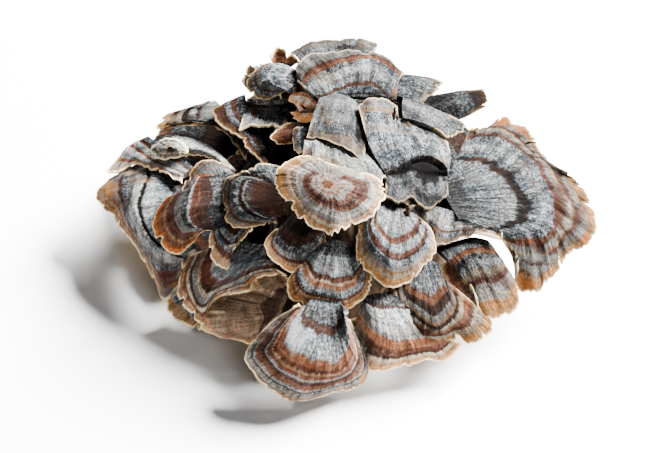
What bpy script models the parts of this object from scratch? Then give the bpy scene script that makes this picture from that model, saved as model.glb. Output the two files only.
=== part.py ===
"""A dried cluster of turkey tail brackets, cut flat underneath and resting on the cut.

Every cap is a thin fan of flesh that grows from a root and ends in a free rim. Its form is given by
growth rings: curves of equal growth, from the root at 0 to the rim at 1. The points of a ring are a
column and a row of the 645 x 453 picture and a height in millimetres above the table, so the real
width of the cluster, CLUSTER_WIDTH, sets every size. The shelves behind, which the picture hides, are
fans on plain arcs round the woody base.
"""

import math

import bmesh
import bpy
import numpy as np
from mathutils import Vector
from mathutils.bvhtree import BVHTree

# Driving dimensions, in millimetres
CLUSTER_WIDTH = 112.0
ROOT_THICKNESS = 2.0
RIM_THICKNESS = 0.9
GAP = 0.45
RIM_GAP = 0.75
LEAST_SHARE = 0.3
FLAT_ANGLE = math.radians(2)
STEP_ACROSS = 4.3
STEP_ALONG = 4.9
BASE_CENTRE = (1.5, -5.07)
BASE_RADII = (22.0, 23.0)
BASE_HEIGHT = 36.0
BASE_FOOT = 1.5
BASE_SIDES = 30
BASE_RINGS = 8
BASE_LOBES = ((3, 0.10, 1.0), (7, 0.06, 0.0))
ROOM_SIDE = 0.6
SETTLE_STEP = 0.15
SETTLE_TRIES = 260
SHELF_ROOT_OPENING = 0.4
SHELF_ROUNDNESS = 0.5
SHELF_DROOP = 6.0
SHELF_STEPS = (6, 2)
INNER_STEPS = (5, 2)
WELD = 0.002
SHEET_WELD = 0.02

# How the picture sees the cluster
PICTURE_CENTRE = (322.5, 226.5)
WIDEST_COLUMNS = (95, 594)
LENS_PIXELS = 1523.0
VIEW_ELEVATION = math.radians(42)
AIM = np.array((-4.25, -3.1, 15.0))

MM = 0.001
TO_EYE = np.array((0.0, -math.cos(VIEW_ELEVATION), math.sin(VIEW_ELEVATION)))
PICTURE_UP = np.array((0.0, math.sin(VIEW_ELEVATION), math.cos(VIEW_ELEVATION)))

# Colours of the flesh: name, red, green, blue, roughness
PAINTS = {
    "grey": (0.42, 0.43, 0.44, 0.9),
    "pale": (0.60, 0.58, 0.54, 0.9),
    "brown": (0.30, 0.19, 0.13, 0.85),
    "tan": (0.55, 0.38, 0.24, 0.85),
    "dark": (0.13, 0.10, 0.09, 0.85),
    "pores": (0.33, 0.26, 0.20, 0.9),
    "wood": (0.16, 0.11, 0.08, 0.9),
}


def seen_at(column, row, height):
    """The point, in millimetres, that lies at a column and a row of the picture and at a height."""
    distance = LENS_PIXELS * CLUSTER_WIDTH / (WIDEST_COLUMNS[1] - WIDEST_COLUMNS[0])
    eye = AIM + distance * TO_EYE
    across = (column - PICTURE_CENTRE[0]) / LENS_PIXELS
    above = (PICTURE_CENTRE[1] - row) / LENS_PIXELS
    ray = np.array((across, 0.0, 0.0)) + PICTURE_UP * above - TO_EYE
    return eye + ray * (height - eye[2]) / ray[2]


def smooth_through(knots, values, places):
    """Read a smooth curve through the values, which stand at the knots, at the given places."""
    values = np.asarray(values, dtype=float)
    if len(values) == 1:
        return np.repeat(values, len(places), axis=0)
    slopes = np.gradient(values, knots, axis=0) if len(values) > 2 else None
    if slopes is None:
        slopes = np.repeat((values[1:] - values[:-1]) / (knots[1] - knots[0]), 2, axis=0)
    found = []
    for place in places:
        k = min(max(int(np.searchsorted(knots, place, side="right")) - 1, 0), len(knots) - 2)
        width = knots[k + 1] - knots[k]
        f = (place - knots[k]) / width
        found.append(
            values[k] * (1 + 2 * f) * (1 - f) ** 2
            + values[k + 1] * f**2 * (3 - 2 * f)
            + slopes[k] * width * f * (1 - f) ** 2
            + slopes[k + 1] * width * f**2 * (f - 1)
        )
    return np.array(found)


def along_curve(points, places, closed):
    """Read a smooth curve through the points at shares of its length."""
    points = np.asarray(points, dtype=float)
    if len(points) == 1:
        return np.repeat(points, len(places), axis=0)
    if closed:
        points = np.vstack([points[-2:], points, points[:3]])
    steps = np.linalg.norm(np.diff(points, axis=0), axis=1)
    knots = np.concatenate([[0.0], np.cumsum(steps)])
    first, last = (knots[2], knots[-3]) if closed else (knots[0], knots[-1])
    return smooth_through(knots, points, first + (last - first) * np.asarray(places))


class Cap:
    """One bracket, given by its growth rings as points that the picture shows."""

    def __init__(self, name, paint, rings, swell=0.0, closed=False, underside=False, thick=1.0):
        self.name = name
        self.paint = paint
        self.rings = [(share, [seen_at(*point) for point in points]) for share, points in rings]
        self.swell = swell
        self.closed = closed
        self.facing = -TO_EYE if underside else TO_EYE
        self.thick = thick

    def surface(self, across, along):
        """Points of the upper face: rows along the growth, columns across the fan."""
        shares = [share for share, _ in self.rings]
        curves = np.array([along_curve(points, across, self.closed) for _, points in self.rings])
        face = smooth_through(shares, curves, along)
        lengths = np.linalg.norm(np.diff(face, axis=0), axis=2).sum(axis=0)
        rise = np.minimum(lengths / lengths.mean(), 1.0)[:, None] * self.outward(face)
        for i, grown in enumerate(along):
            face[i] += rise * self.swell * 4 * grown * (1 - grown)
        return face

    def outward(self, face):
        """The mean normal of the upper face."""
        spread = np.cross(face[1:, 1:] - face[:-1, :-1], face[1:, :-1] - face[:-1, 1:]).sum(axis=(0, 1))
        spread /= np.linalg.norm(spread)
        return spread if spread @ self.facing > 0 else -spread

    def steps(self):
        """How many steps the solid takes across the fan and along its growth."""
        face = self.surface(np.linspace(0, 1, 25), np.linspace(0, 1, 9))
        rim = np.linalg.norm(np.diff(face[-1], axis=0), axis=1).sum()
        reach = np.linalg.norm(np.diff(face, axis=0), axis=2).sum(axis=0).mean()
        return max(6, round(rim / STEP_ACROSS)), max(3, round(reach / STEP_ALONG))


class Inner(Cap):
    """A cap deep in the cluster, of which only shaded parts show between the others."""

    def steps(self):
        """How many steps the solid takes across the fan and along its growth."""
        return INNER_STEPS


class Shelf(Cap):
    """A bracket that the picture hides: a fan on arcs round the base, in real millimetres."""

    def __init__(self, name, paint, bearing, spread, root, rim, swell=1.2):
        self.name = name
        self.paint = paint
        self.swell = swell
        self.closed = False
        self.facing = np.array((0.0, 0.0, 1.0))
        self.thick = 1.0
        self.rings = []
        for share, (radius, height), opening in ((0.0, root, SHELF_ROOT_OPENING), (1.0, rim, 1.0)):
            self.rings.append((share, self.arc(bearing, spread * opening, radius, height)))

    def steps(self):
        """How many steps the solid takes across the fan and along its growth."""
        return SHELF_STEPS

    @staticmethod
    def arc(bearing, spread, radius, height):
        """Points of an arc round the base."""
        points = []
        for part in np.linspace(-0.5, 0.5, 7):
            turn = math.radians(bearing + spread * part)
            reach = radius * (1 - SHELF_ROUNDNESS * part**2)
            points.append(
                np.array((
                    BASE_CENTRE[0] + reach * math.cos(turn),
                    BASE_CENTRE[1] + reach * math.sin(turn),
                    height - SHELF_DROOP * part**2,
                ))
            )
        return points


def all_caps():
    """Every cap, from the ones that lie over the others to the ones that lie under them."""
    return [
        Cap("cap_centre_disc", "tan", [
            (0.0, [(327, 184, 36.2)]),
            (0.5, [(303, 183, 35.2), (310, 172, 36.2), (325, 168, 36.6), (345, 176, 36.0), (363, 187, 34.9),
                   (360, 199, 33.9), (345, 207, 33.2), (325, 206, 33.3), (310, 198, 34.0)]),
            (1.0, [(275, 182, 33.6), (277, 170, 34.8), (290, 158, 36.0), (308, 155, 36.5), (333, 165, 36.6),
                   (366, 173, 35.6), (381, 180, 34.2), (384, 196, 32.8), (376, 215, 31.4), (352, 227, 30.4),
                   (334, 236, 29.6), (318, 230, 29.8), (302, 221, 30.5), (290, 206, 31.6), (279, 194, 32.7)]),
        ], closed=True, swell=0.5, thick=1.3),
        Cap("cap_pale_sheet", "pale", [
            (0.0, [(306, 134, 33.4), (320, 131, 33.7), (335, 138, 33.7), (350, 145, 33.4), (366, 154, 32.8)]),
            (1.0, [(302, 160, 34.2), (325, 168, 34.4), (350, 178, 33.8), (372, 182, 33.0), (389, 178, 32.4)]),
        ], swell=0.6),
        Cap("cap_pale_flow", "pale", [
            (0.0, [(320, 97, 35.0), (336, 94, 34.8), (352, 99, 33.4), (362, 108, 32.2)]),
            (1.0, [(306, 137, 35.0), (320, 139, 35.2), (335, 144, 35.1), (350, 152, 34.6), (366, 160, 33.4)]),
        ], swell=0.5, thick=0.6),
        Cap("cap_tube_hood", "grey", [
            (0.0, [(385, 173, 32.6), (400, 165, 33.0), (413, 158, 33.2), (427, 155, 33.0), (438, 159, 32.2),
                   (447, 168, 31.0), (448, 176, 29.6)]),
            (0.5, [(369, 145, 34.0), (387, 140, 34.2), (405, 138, 34.0), (425, 139, 33.0), (440, 146, 32.0),
                   (451, 156, 30.6)]),
            (1.0, [(358, 104, 35.2), (370, 99, 35.3), (386, 98, 35.0), (396, 104, 34.5), (398, 117, 34.0),
                   (411, 121, 33.4), (426, 126, 32.4), (440, 133, 31.5), (449, 141, 30.8)]),
        ]),
        Cap("cap_pale_flap", "pale", [
            (0.0, [(403, 98, 34.2), (402, 108, 34.4), (403, 118, 34.4)]),
            (0.5, [(436, 112, 32.6), (431, 119, 33.0), (427, 127, 33.2)]),
            (1.0, [(467, 127, 30.0), (458, 133, 30.4), (448, 139, 31.4)]),
        ], swell=0.8),
        Cap("cap_fuzzy_lobe", "grey", [
            (0.0, [(393, 169, 29.0), (406, 163, 27.0), (420, 159, 25.0), (434, 159, 24.5), (444, 167, 25.5)]),
            (0.45, [(387, 177, 31.8), (399, 179, 31.5), (412, 175, 31.8), (425, 181, 31.0), (437, 180, 30.5),
                    (447, 178, 29.6)]),
            (1.0, [(385, 197, 31.2), (398, 201, 31.0), (412, 197, 31.0), (425, 206, 30.0), (438, 203, 29.6),
                   (449, 193, 29.2)]),
        ]),
        Cap("cap_right_fan", "grey", [
            (0.0, [(448, 170, 28.6), (444, 188, 27.4), (450, 205, 26.8), (458, 217, 26.8)]),
            (0.35, [(456, 160, 28.4), (472, 159, 28.0), (490, 162, 27.4), (507, 172, 26.4), (520, 186, 25.4),
                    (526, 202, 24.4), (521, 218, 24.0), (509, 227, 24.0), (490, 230, 24.4)]),
            (0.72, [(466, 137, 28.6), (484, 134, 28.2), (502, 137, 27.6), (520, 147, 26.6), (537, 162, 25.4),
                    (551, 184, 23.8), (556, 207, 21.8), (550, 230, 20.0), (530, 243, 19.2), (505, 243, 20.8)]),
            (1.0, [(470, 129, 28.8), (487, 126, 28.6), (500, 118, 28.6), (528, 130, 26.8), (540, 153, 25.4),
                   (558, 168, 24.0), (580, 183, 21.8), (594, 206, 19.0), (586, 243, 16.6), (573, 250, 15.8),
                   (560, 270, 14.2), (536, 290, 12.6), (517, 286, 13.4), (514, 265, 16.4)]),
        ], swell=0.3),
        Cap("cap_under_disc_right", "grey", [
            (0.0, [(387, 203, 29.2), (396, 200, 29.0), (407, 204, 28.4)]),
            (0.5, [(371, 214, 29.2), (369, 232, 27.8), (378, 248, 26.2), (393, 258, 24.8), (405, 254, 24.8),
                   (419, 244, 25.2), (423, 228, 26.6), (413, 213, 28.0)]),
            (1.0, [(361, 221, 28.6), (357, 240, 26.8), (358, 258, 24.4), (370, 276, 22.0), (388, 288, 20.4),
                   (405, 284, 20.4), (425, 268, 21.4), (436, 250, 23.0), (434, 233, 25.2), (416, 215, 27.6)]),
        ], swell=1.8),
        Cap("cap_front_ridge", "pale", [
            (0.0, [(399, 196, 29.2), (411, 195, 28.8), (424, 202, 28.0), (442, 208, 27.0), (461, 214, 26.2),
                   (481, 220, 25.6), (499, 225, 25.0)]),
            (1.0, [(391, 200, 30.2), (405, 203, 29.6), (416, 212, 28.2), (426, 227, 26.0), (438, 243, 23.4),
                   (449, 243, 22.8), (458, 238, 23.2), (468, 237, 23.0), (474, 232, 23.6), (488, 231, 23.8),
                   (502, 238, 23.0)]),
        ], swell=0.9),
        Cap("cap_under_disc_left", "brown", [
            (0.0, [(297, 210, 27.0), (309, 213, 27.4), (320, 221, 27.2)]),
            (0.5, [(281, 227, 26.0), (279, 240, 24.6), (290, 249, 23.4), (305, 247, 23.6), (316, 240, 24.6),
                   (323, 229, 26.0)]),
            (1.0, [(276, 230, 25.4), (266, 242, 23.6), (268, 255, 21.6), (279, 267, 19.8), (295, 272, 19.2),
                   (309, 273, 19.4), (319, 262, 20.6), (325, 249, 22.4), (326, 236, 24.4)]),
        ], swell=1.4),
        Cap("cap_under_disc_front", "brown", [
            (0.0, [(322, 243, 24.8), (337, 240, 25.4), (350, 244, 24.8)]),
            (0.5, [(305, 262, 22.4), (312, 279, 20.6), (330, 285, 20.0), (350, 283, 20.2), (362, 267, 22.0)]),
            (1.0, [(295, 267, 22.6), (286, 282, 20.6), (288, 296, 18.8), (303, 305, 17.4), (322, 310, 16.6),
                   (343, 311, 16.4), (360, 305, 17.2), (371, 292, 18.8), (373, 278, 20.4), (366, 262, 22.6)]),
        ], swell=1.8),
        Cap("cap_left_square", "brown", [
            (0.0, [(284, 189, 28.6), (288, 200, 28.2), (286, 213, 27.4)]),
            (0.5, [(263, 181, 28.4), (247, 184, 27.6), (242, 198, 26.8), (245, 212, 26.2), (259, 219, 26.0),
                   (276, 220, 26.2)]),
            (1.0, [(264, 177, 28.4), (241, 174, 27.0), (226, 178, 26.0), (222, 191, 25.2), (223, 206, 24.4),
                   (226, 223, 23.6), (238, 228, 23.6), (256, 227, 24.0), (277, 225, 25.0)]),
        ], swell=1.2),
        Cap("cap_behind_disc", "pale", [
            (0.0, [(290, 186, 29.6), (270, 184, 28.4), (250, 182, 26.6)]),
            (1.0, [(284, 165, 31.4), (263, 164.5, 30.4), (249, 168, 29.4), (236, 173, 27.8)]),
        ]),
        Cap("cap_left_pointed", "brown", [
            (0.0, [(229, 219, 22.2), (239, 221, 22.4), (252, 223, 22.6)]),
            (1.0, [(214, 228, 20.8), (209, 240, 19.6), (211, 254, 18.0), (219, 266, 16.8), (228, 268, 16.8),
                   (231, 256, 18.4), (237, 245, 20.0), (245, 237, 21.2), (253, 228, 22.2)]),
        ], swell=0.9),
        Cap("cap_left_orange", "brown", [
            (0.0, [(224, 176, 25.6), (228, 194, 24.8), (227, 211, 24.0), (225, 226, 22.8)]),
            (0.45, [(202, 177, 24.6), (196, 192, 23.6), (192, 210, 22.6), (196, 225, 21.4), (207, 231, 21.2)]),
            (1.0, [(198, 182, 23.6), (182, 193, 21.8), (167, 197, 20.4), (157, 207, 19.0), (151, 218, 17.8),
                   (155, 236, 16.6), (166, 249, 15.4), (178, 254.5, 15.2), (190, 246, 16.4),
                   (200, 235, 18.4), (211, 230, 20.4)]),
        ], swell=1.0),
        Cap("cap_left_hood", "grey", [
            (0.0, [(198, 196, 22.6), (212, 186, 24.0), (226, 180, 25.0), (238, 180, 25.4)]),
            (1.0, [(182, 196, 21.4), (184, 183, 22.4), (190, 172, 23.2), (200, 163.5, 24.2), (212, 160.5, 25.0),
                   (225, 163, 25.6), (235, 173, 26.2)]),
        ], swell=0.6),
        Cap("cap_spiral", "grey", [
            (0.0, [(171, 148, 24.4)]),
            (1.0, [(190, 153, 23.4), (182, 142, 24.2), (168, 138, 23.8), (156, 141, 22.7), (150, 149, 21.7),
                   (156, 157, 21.1), (172, 157.5, 22.0)]),
        ], closed=True, swell=0.4, thick=0.6),
        Cap("cap_spiral_arm", "grey", [
            (0.0, [(237, 171, 22.6), (223, 156, 22.6), (206, 143, 22.4), (186, 135, 22.2), (166, 133, 21.6),
                   (152, 140, 20.6)]),
            (0.5, [(229, 168, 24.0), (215, 156, 24.0), (199, 149, 24.0), (182, 146, 23.4), (165, 145, 22.0),
                   (152, 148, 20.8)]),
            (1.0, [(224, 169, 22.6), (211, 161, 22.4), (198, 156, 22.2), (184, 157, 21.4), (168, 158, 20.4),
                   (152, 158, 19.8)]),
        ]),
        Cap("cap_left_crest", "brown", [
            (0.0, [(148, 136, 21.6), (163, 148, 21.2), (183, 157, 21.2), (194, 168, 21.2)]),
            (0.5, [(128, 146, 19.0), (142, 158, 19.4), (162, 166, 20.0), (182, 175, 20.6)]),
            (1.0, [(106, 172, 16.2), (116, 172, 16.8), (125, 166, 17.8), (134, 163.5, 18.4), (146, 167, 19.0),
                   (158, 171, 19.6), (170, 176, 20.0), (181, 181.5, 20.3)]),
        ]),
        Cap("cap_left_big", "grey", [
            (0.0, [(180, 172, 17.2), (188, 196, 17.4), (192, 220, 16.6), (194, 244, 15.0)]),
            (0.5, [(150, 166, 16.2), (143, 188, 16.8), (138, 205, 16.4), (142, 222, 15.6), (150, 236, 14.8),
                   (161, 248, 14.0), (173, 255, 13.4), (185, 259, 12.8)]),
            (1.0, [(120, 170, 14.8), (107, 179, 15.0), (96, 190, 14.2), (99, 203, 13.2), (112, 216, 12.2),
                   (128, 238, 10.8), (145, 268, 8.6), (158, 288, 7.4), (166, 299, 6.6), (176, 287, 8.4),
                   (182, 270, 10.8)]),
        ], swell=1.4),
        Cap("cap_left_lower", "brown", [
            (0.0, [(236, 244, 19.0), (258, 244, 19.4), (280, 256, 18.0)]),
            (0.5, [(211, 248, 15.4), (206, 262, 14.4), (204, 278, 12.6), (208, 291, 11.2), (222, 287, 12.4),
                   (240, 279, 14.2), (257, 270, 16.0), (276, 267, 16.8)]),
            (1.0, [(191, 257, 12.2), (184, 267, 11.4), (179, 280, 10.0), (178, 292, 8.8), (184, 304, 7.4),
                   (194, 317, 6.0), (203, 324, 5.4), (211, 305, 8.0), (223, 296, 9.8), (237, 293, 11.2),
                   (249, 292, 12.0), (256, 279, 14.0), (270, 276, 15.2), (287, 276, 16.0)]),
        ], swell=0.8),
        Cap("cap_left_hem", "grey", [
            (0.0, [(184, 290, 7.2), (196, 300, 6.8), (206, 314, 5.4)]),
            (1.0, [(163, 300, 6.2), (168, 311, 5.2), (177, 318, 4.6), (189, 326, 3.8), (200, 332, 3.2)]),
        ]),
        Cap("cap_lower_pores", "pores", [
            (0.0, [(269, 332, 6.8), (279, 317, 8.8), (286, 302, 10.8), (292, 291, 12.4)]),
            (1.0, [(252, 345, 3.4), (232, 338.5, 3.0), (213, 335, 3.0), (203, 329, 3.8), (207, 311, 5.8),
                   (217, 300, 7.0), (235, 294, 8.4), (249, 292, 9.2), (257, 280, 11.2), (270, 276, 12.4),
                   (288, 277, 13.2)]),
        ], underside=True),
        Cap("cap_front", "brown", [
            (0.0, [(311, 299, 18.6), (325, 296, 18.8), (340, 299, 18.6)]),
            (0.5, [(303, 306, 18.4), (290, 322, 17.2), (284, 338, 15.0), (291, 352, 13.2), (305, 362, 11.8),
                   (322, 366, 11.2), (340, 363, 11.4), (349, 350, 13.2), (349, 331, 16.0), (345, 315, 18.0)]),
            (1.0, [(298, 303, 20.2), (276, 318, 16.8), (256, 338, 13.0), (245, 358, 9.2), (255, 375, 6.2),
                   (271, 392, 3.4), (292, 401, 1.8), (314, 398, 2.0), (336, 392, 2.6), (354, 388, 3.0),
                   (365, 378, 4.0), (367, 364, 6.4), (361, 342, 10.4), (352, 319, 15.4)]),
        ], swell=2.0, thick=0.7),
        Cap("cap_right_split", "tan", [
            (0.0, [(437, 247, 21.0), (455, 241, 21.4), (476, 237, 21.6), (488, 240, 21.2)]),
            (0.5, [(454, 272, 18.4), (470, 266, 19.4), (486, 260, 19.6), (500, 258, 18.4)]),
            (1.0, [(475, 298, 14.8), (476, 312, 13.0), (487, 318, 12.0), (500, 315, 12.0), (513, 311, 12.0),
                   (521, 300, 12.4), (519, 289, 13.2), (511, 275, 14.2)]),
        ], swell=0.8),
        Cap("cap_right_split_lip", "dark", [
            (0.0, [(456, 258, 18.4), (470, 270, 16.8), (480, 286, 14.4), (485, 300, 12.4)]),
            (1.0, [(441, 264, 17.6), (443, 277, 16.2), (448, 290, 14.6), (456, 300, 13.0), (474, 308, 11.2)]),
        ]),
        Cap("cap_right_front", "grey", [
            (0.0, [(411, 263, 21.2), (425, 259, 21.4), (437, 262, 21.0)]),
            (0.65, [(396, 279, 20.0), (399, 300, 17.2), (413, 317, 15.0), (427, 328, 13.6), (437, 330, 13.2),
                    (447, 324, 13.6), (457, 312, 14.6), (452, 288, 17.0)]),
            (1.0, [(383, 288, 19.4), (381, 304, 17.4), (392, 311, 16.2), (403, 320, 14.8), (409, 337, 12.2),
                   (419, 345, 10.8), (431, 345, 10.4), (446, 343, 10.0), (460, 341, 9.8), (470, 345, 9.4),
                   (483, 338, 10.0), (492, 325, 11.2), (488, 314, 12.4)]),
        ], swell=1.2),
        Cap("cap_front_right", "grey", [
            (0.0, [(362, 297, 17.6), (380, 293, 18.6), (396, 296, 18.4)]),
            (0.55, [(357, 315, 14.6), (371, 330, 13.8), (388, 339, 12.6), (406, 341, 11.6), (424, 338, 11.2),
                    (440, 330, 11.4)]),
            (1.0, [(348, 320, 12.8), (356, 346, 8.2), (365, 367, 5.4), (383, 371, 5.6), (398, 368, 6.2),
                   (415, 364, 6.2), (430, 360, 6.4), (445, 361, 6.0), (456, 353, 7.0), (462, 343, 8.2)]),
        ], swell=1.6),
        Cap("cap_top_fan", "grey", [
            (0.0, [(327, 106, 33.8), (339, 99, 33.8), (352, 97, 33.6), (366, 97, 33.4), (380, 99, 33.0)]),
            (0.3, [(316, 98, 35.0), (330, 93, 35.0), (345, 87, 35.0), (361, 84, 34.8), (376, 87, 34.2),
                   (388, 97, 33.2)]),
            (0.75, [(303, 87, 35.6), (309, 77, 36.0), (318, 68, 36.2), (333, 63, 36.4), (351, 60, 36.3),
                    (370, 59, 35.8), (388, 64, 35.0), (402, 76, 33.8)]),
            (1.0, [(297, 80, 35.4), (297, 65, 35.8), (306, 56, 36.2), (321, 52, 36.4), (340, 51, 36.4),
                   (360, 51, 36.2), (380, 54, 35.6), (393, 61, 34.8), (405, 74, 33.4)]),
        ], swell=0.6),
        Cap("cap_top_behind", "grey", [
            (0.0, [(306, 74, 33.6), (332, 73, 33.8), (364, 74, 33.4)]),
            (1.0, [(289, 51, 31.8), (301, 45, 32.4), (320, 40, 33.0), (341, 38, 33.2), (364, 38, 33.0),
                   (379, 43, 32.2)]),
        ], swell=0.6),
        Cap("cap_knot", "grey", [
            (0.0, [(299, 71, 34.6), (294, 78, 34.8), (300, 86, 34.2)]),
            (0.35, [(284, 66, 34.2), (275, 74, 34.0), (276, 84, 33.6), (288, 91, 33.4)]),
            (1.0, [(268, 64, 33.0), (252, 72, 32.2), (246, 86, 31.2), (252, 96, 30.4), (263, 99, 30.2),
                   (276, 96, 31.0), (289, 92, 32.4)]),
        ], swell=0.8),
        Cap("cap_knot_tab", "tan", [
            (0.0, [(264, 73, 31.6), (257, 82, 31.0), (252, 90, 30.2)]),
            (1.0, [(262, 64, 33.2), (254, 62, 33.4), (247, 69, 32.6), (243, 82, 31.4)]),
        ]),
        Cap("cap_crown_tab", "brown", [
            (0.0, [(292, 67, 32.8), (283, 68, 32.6), (274, 68, 32.0)]),
            (1.0, [(300, 60, 34.6), (290, 53, 35.2), (277, 48, 35.4), (271, 55, 34.6)]),
        ]),
        Cap("cap_orange_curl_upper", "tan", [
            (0.0, [(292, 93, 33.4), (305, 92, 34.0), (317, 104, 34.0)]),
            (1.0, [(287, 100, 31.8), (293, 105, 31.4), (302, 108, 31.6), (312, 110, 32.6)]),
        ]),
        Cap("cap_orange_curl_lower", "tan", [
            (0.0, [(299, 112, 32.4), (309, 109, 33.2), (320, 112, 33.4)]),
            (1.0, [(290, 112, 31.2), (293, 119, 30.6), (301, 122, 30.6), (311, 120, 31.6), (321, 118, 32.8)]),
        ]),
        Cap("cap_tongue", "brown", [
            (0.0, [(300, 122, 30.8), (306, 130, 31.2), (301, 140, 30.4)]),
            (1.0, [(286, 122, 30.0), (275, 130, 29.2), (270, 137, 28.8), (274, 143, 28.2), (283, 145, 28.2),
                   (293, 143, 28.8)]),
        ]),
        Cap("cap_inner_curl", "grey", [
            (0.0, [(314, 130, 32.0), (313, 142, 31.6), (310, 153, 31.4)]),
            (1.0, [(294, 129, 30.4), (291, 137, 29.8), (293, 146, 29.0), (299, 154, 29.2)]),
        ], swell=1.0),
        Cap("cap_scoop", "grey", [
            (0.0, [(247, 98, 29.2), (262, 101, 29.0), (278, 100, 29.2), (292, 98, 29.6)]),
            (0.5, [(244, 112, 28.2), (258, 114, 27.0), (275, 115, 26.8), (288, 114, 27.4)]),
            (1.0, [(239, 129, 28.0), (252, 125, 28.4), (266, 125, 28.6), (282, 128, 28.6)]),
        ]),
        Cap("cap_fin", "brown", [
            (0.0, [(245, 94, 30.0), (249, 112, 27.6), (258, 132, 25.6), (271, 158, 24.0)]),
            (1.0, [(213, 109, 28.4), (214, 118, 28.0), (223, 127, 27.6), (233, 132, 27.2), (242, 140, 26.6),
                   (252, 152, 25.8), (265, 165, 25.0)]),
        ], swell=0.4),
        Cap("cap_arch", "dark", [
            (0.0, [(216, 101, 27.4), (228, 114, 26.4), (238, 130, 25.4), (248, 148, 23.8)]),
            (1.0, [(200, 103, 26.8), (178, 109, 25.6), (167, 113, 24.8), (158, 129, 23.4), (172, 126, 24.2),
                   (191, 125, 25.0), (210, 126, 25.6), (223, 132, 25.6), (236, 143, 25.0), (246, 160, 24.0)]),
        ], swell=0.8),
        Cap("cap_back_wedge", "grey", [
            (0.0, [(400, 74, 32.6), (398, 86, 32.4), (397, 96, 31.8)]),
            (1.0, [(444, 81, 30.0), (436, 92, 30.2), (425, 108, 29.6)]),
        ], swell=0.5),
        Cap("cap_back_roll", "dark", [
            (0.0, [(417, 98, 30.6), (418, 110, 30.2), (428, 120, 29.0)]),
            (0.5, [(456, 92, 29.2), (456, 104, 29.4), (459, 120, 27.0)]),
            (1.0, [(482, 90, 27.6), (487, 98, 27.6), (484, 108, 26.6)]),
        ], swell=0.3),
        Inner("inner_left", "dark", [
            (0.0, [(268, 138, 17.0), (268, 164, 16.5), (260, 198, 16.0)]),
            (1.0, [(198, 110, 15.5), (166, 122, 15.0), (150, 143, 14.0), (162, 184, 13.5)]),
        ]),
        Inner("inner_upper_left", "dark", [
            (0.0, [(322, 94, 25.5), (320, 125, 25.0), (312, 150, 24.5), (296, 172, 24.0)]),
            (1.0, [(262, 84, 23.0), (246, 104, 22.5), (246, 125, 22.0), (254, 150, 21.5), (266, 172, 22.0)]),
        ]),
        Inner("inner_crown", "dark", [
            (0.0, [(292, 124, 27.0), (330, 132, 28.0), (370, 135, 28.0), (412, 130, 27.0)]),
            (1.0, [(276, 86, 27.0), (308, 74, 28.5), (345, 70, 29.0), (385, 72, 28.5), (414, 84, 27.0)]),
        ]),
        Inner("inner_right", "dark", [
            (0.0, [(440, 215, 21.5), (425, 190, 22.0), (415, 162, 22.5)]),
            (1.0, [(492, 176, 22.0), (486, 152, 22.5), (474, 131, 23.5), (455, 122, 24.5)]),
        ]),
        Shelf("shelf_back_left_upper", "grey", bearing=128, spread=70, root=(17, 20), rim=(36, 18)),
        Shelf("shelf_back_upper", "brown", bearing=88, spread=64, root=(16, 23), rim=(38, 21)),
        Shelf("shelf_back_right_upper", "grey", bearing=48, spread=60, root=(17, 21), rim=(37, 19)),
        Shelf("shelf_left_lower", "brown", bearing=158, spread=56, root=(19, 12), rim=(45, 9)),
        Shelf("shelf_back_left_lower", "tan", bearing=112, spread=60, root=(18, 12), rim=(37, 9)),
        Shelf("shelf_back_right_lower", "brown", bearing=62, spread=58, root=(18, 12), rim=(36, 9)),
        Shelf("shelf_right_lower", "grey", bearing=31, spread=40, root=(19, 12), rim=(43, 8)),
        Shelf("shelf_right_front_lower", "brown", bearing=-28, spread=44, root=(18, 9), rim=(33, 5)),
    ]


def paint(name):
    """The material of one colour of flesh."""
    red, green, blue, roughness = PAINTS[name]
    material = bpy.data.materials.get(name) or bpy.data.materials.new(name)
    material.use_nodes = True
    shader = material.node_tree.nodes["Principled BSDF"]
    shader.inputs["Base Color"].default_value = (red, green, blue, 1.0)
    shader.inputs["Roughness"].default_value = roughness
    shader.inputs["Metallic"].default_value = 0.0
    return material


def cap_mesh(cap, margin=0.0):
    """The closed solid of a cap as a bmesh, grown by a margin in millimetres on every side."""
    n_across, n_along = cap.steps()
    across = np.linspace(0, 1, n_across + 1)
    along = np.linspace(0, 1, n_along + 1)
    face = cap.surface(across, along)
    solid = bmesh.new()
    bmesh.ops.create_grid(solid, x_segments=n_across, y_segments=n_along, size=0.5)
    flesh = solid.verts.layers.float.new("flesh")
    for vert in solid.verts:
        share, grown = vert.co.x + 0.5, vert.co.y + 0.5
        vert[flesh] = cap.thick * (RIM_THICKNESS + (ROOT_THICKNESS - RIM_THICKNESS) * (1 - grown) ** 1.5)
        vert.co = Vector(face[round(grown * n_along), round(share * n_across)])
    bmesh.ops.remove_doubles(solid, verts=solid.verts, dist=SHEET_WELD)
    bmesh.ops.recalc_face_normals(solid, faces=solid.faces)
    facing = sum((item.normal * item.calc_area() for item in solid.faces), Vector())
    if facing.dot(Vector(cap.outward(face))) < 0:
        bmesh.ops.reverse_faces(solid, faces=solid.faces)
    solid.normal_update()
    if margin:
        widen(solid, RIM_GAP)
    down = solid.verts.layers.float_vector.new("down")
    for vert in solid.verts:
        vert[down] = -vert.normal * (vert[flesh] + 2 * margin)
        vert.co += vert.normal * margin
    grown = bmesh.ops.extrude_face_region(solid, geom=list(solid.faces), use_keep_orig=True)
    for vert in (item for item in grown["geom"] if isinstance(item, bmesh.types.BMVert)):
        vert.co += vert[down]
    bmesh.ops.triangulate(solid, faces=solid.faces)
    bmesh.ops.recalc_face_normals(solid, faces=solid.faces)
    return solid


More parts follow.
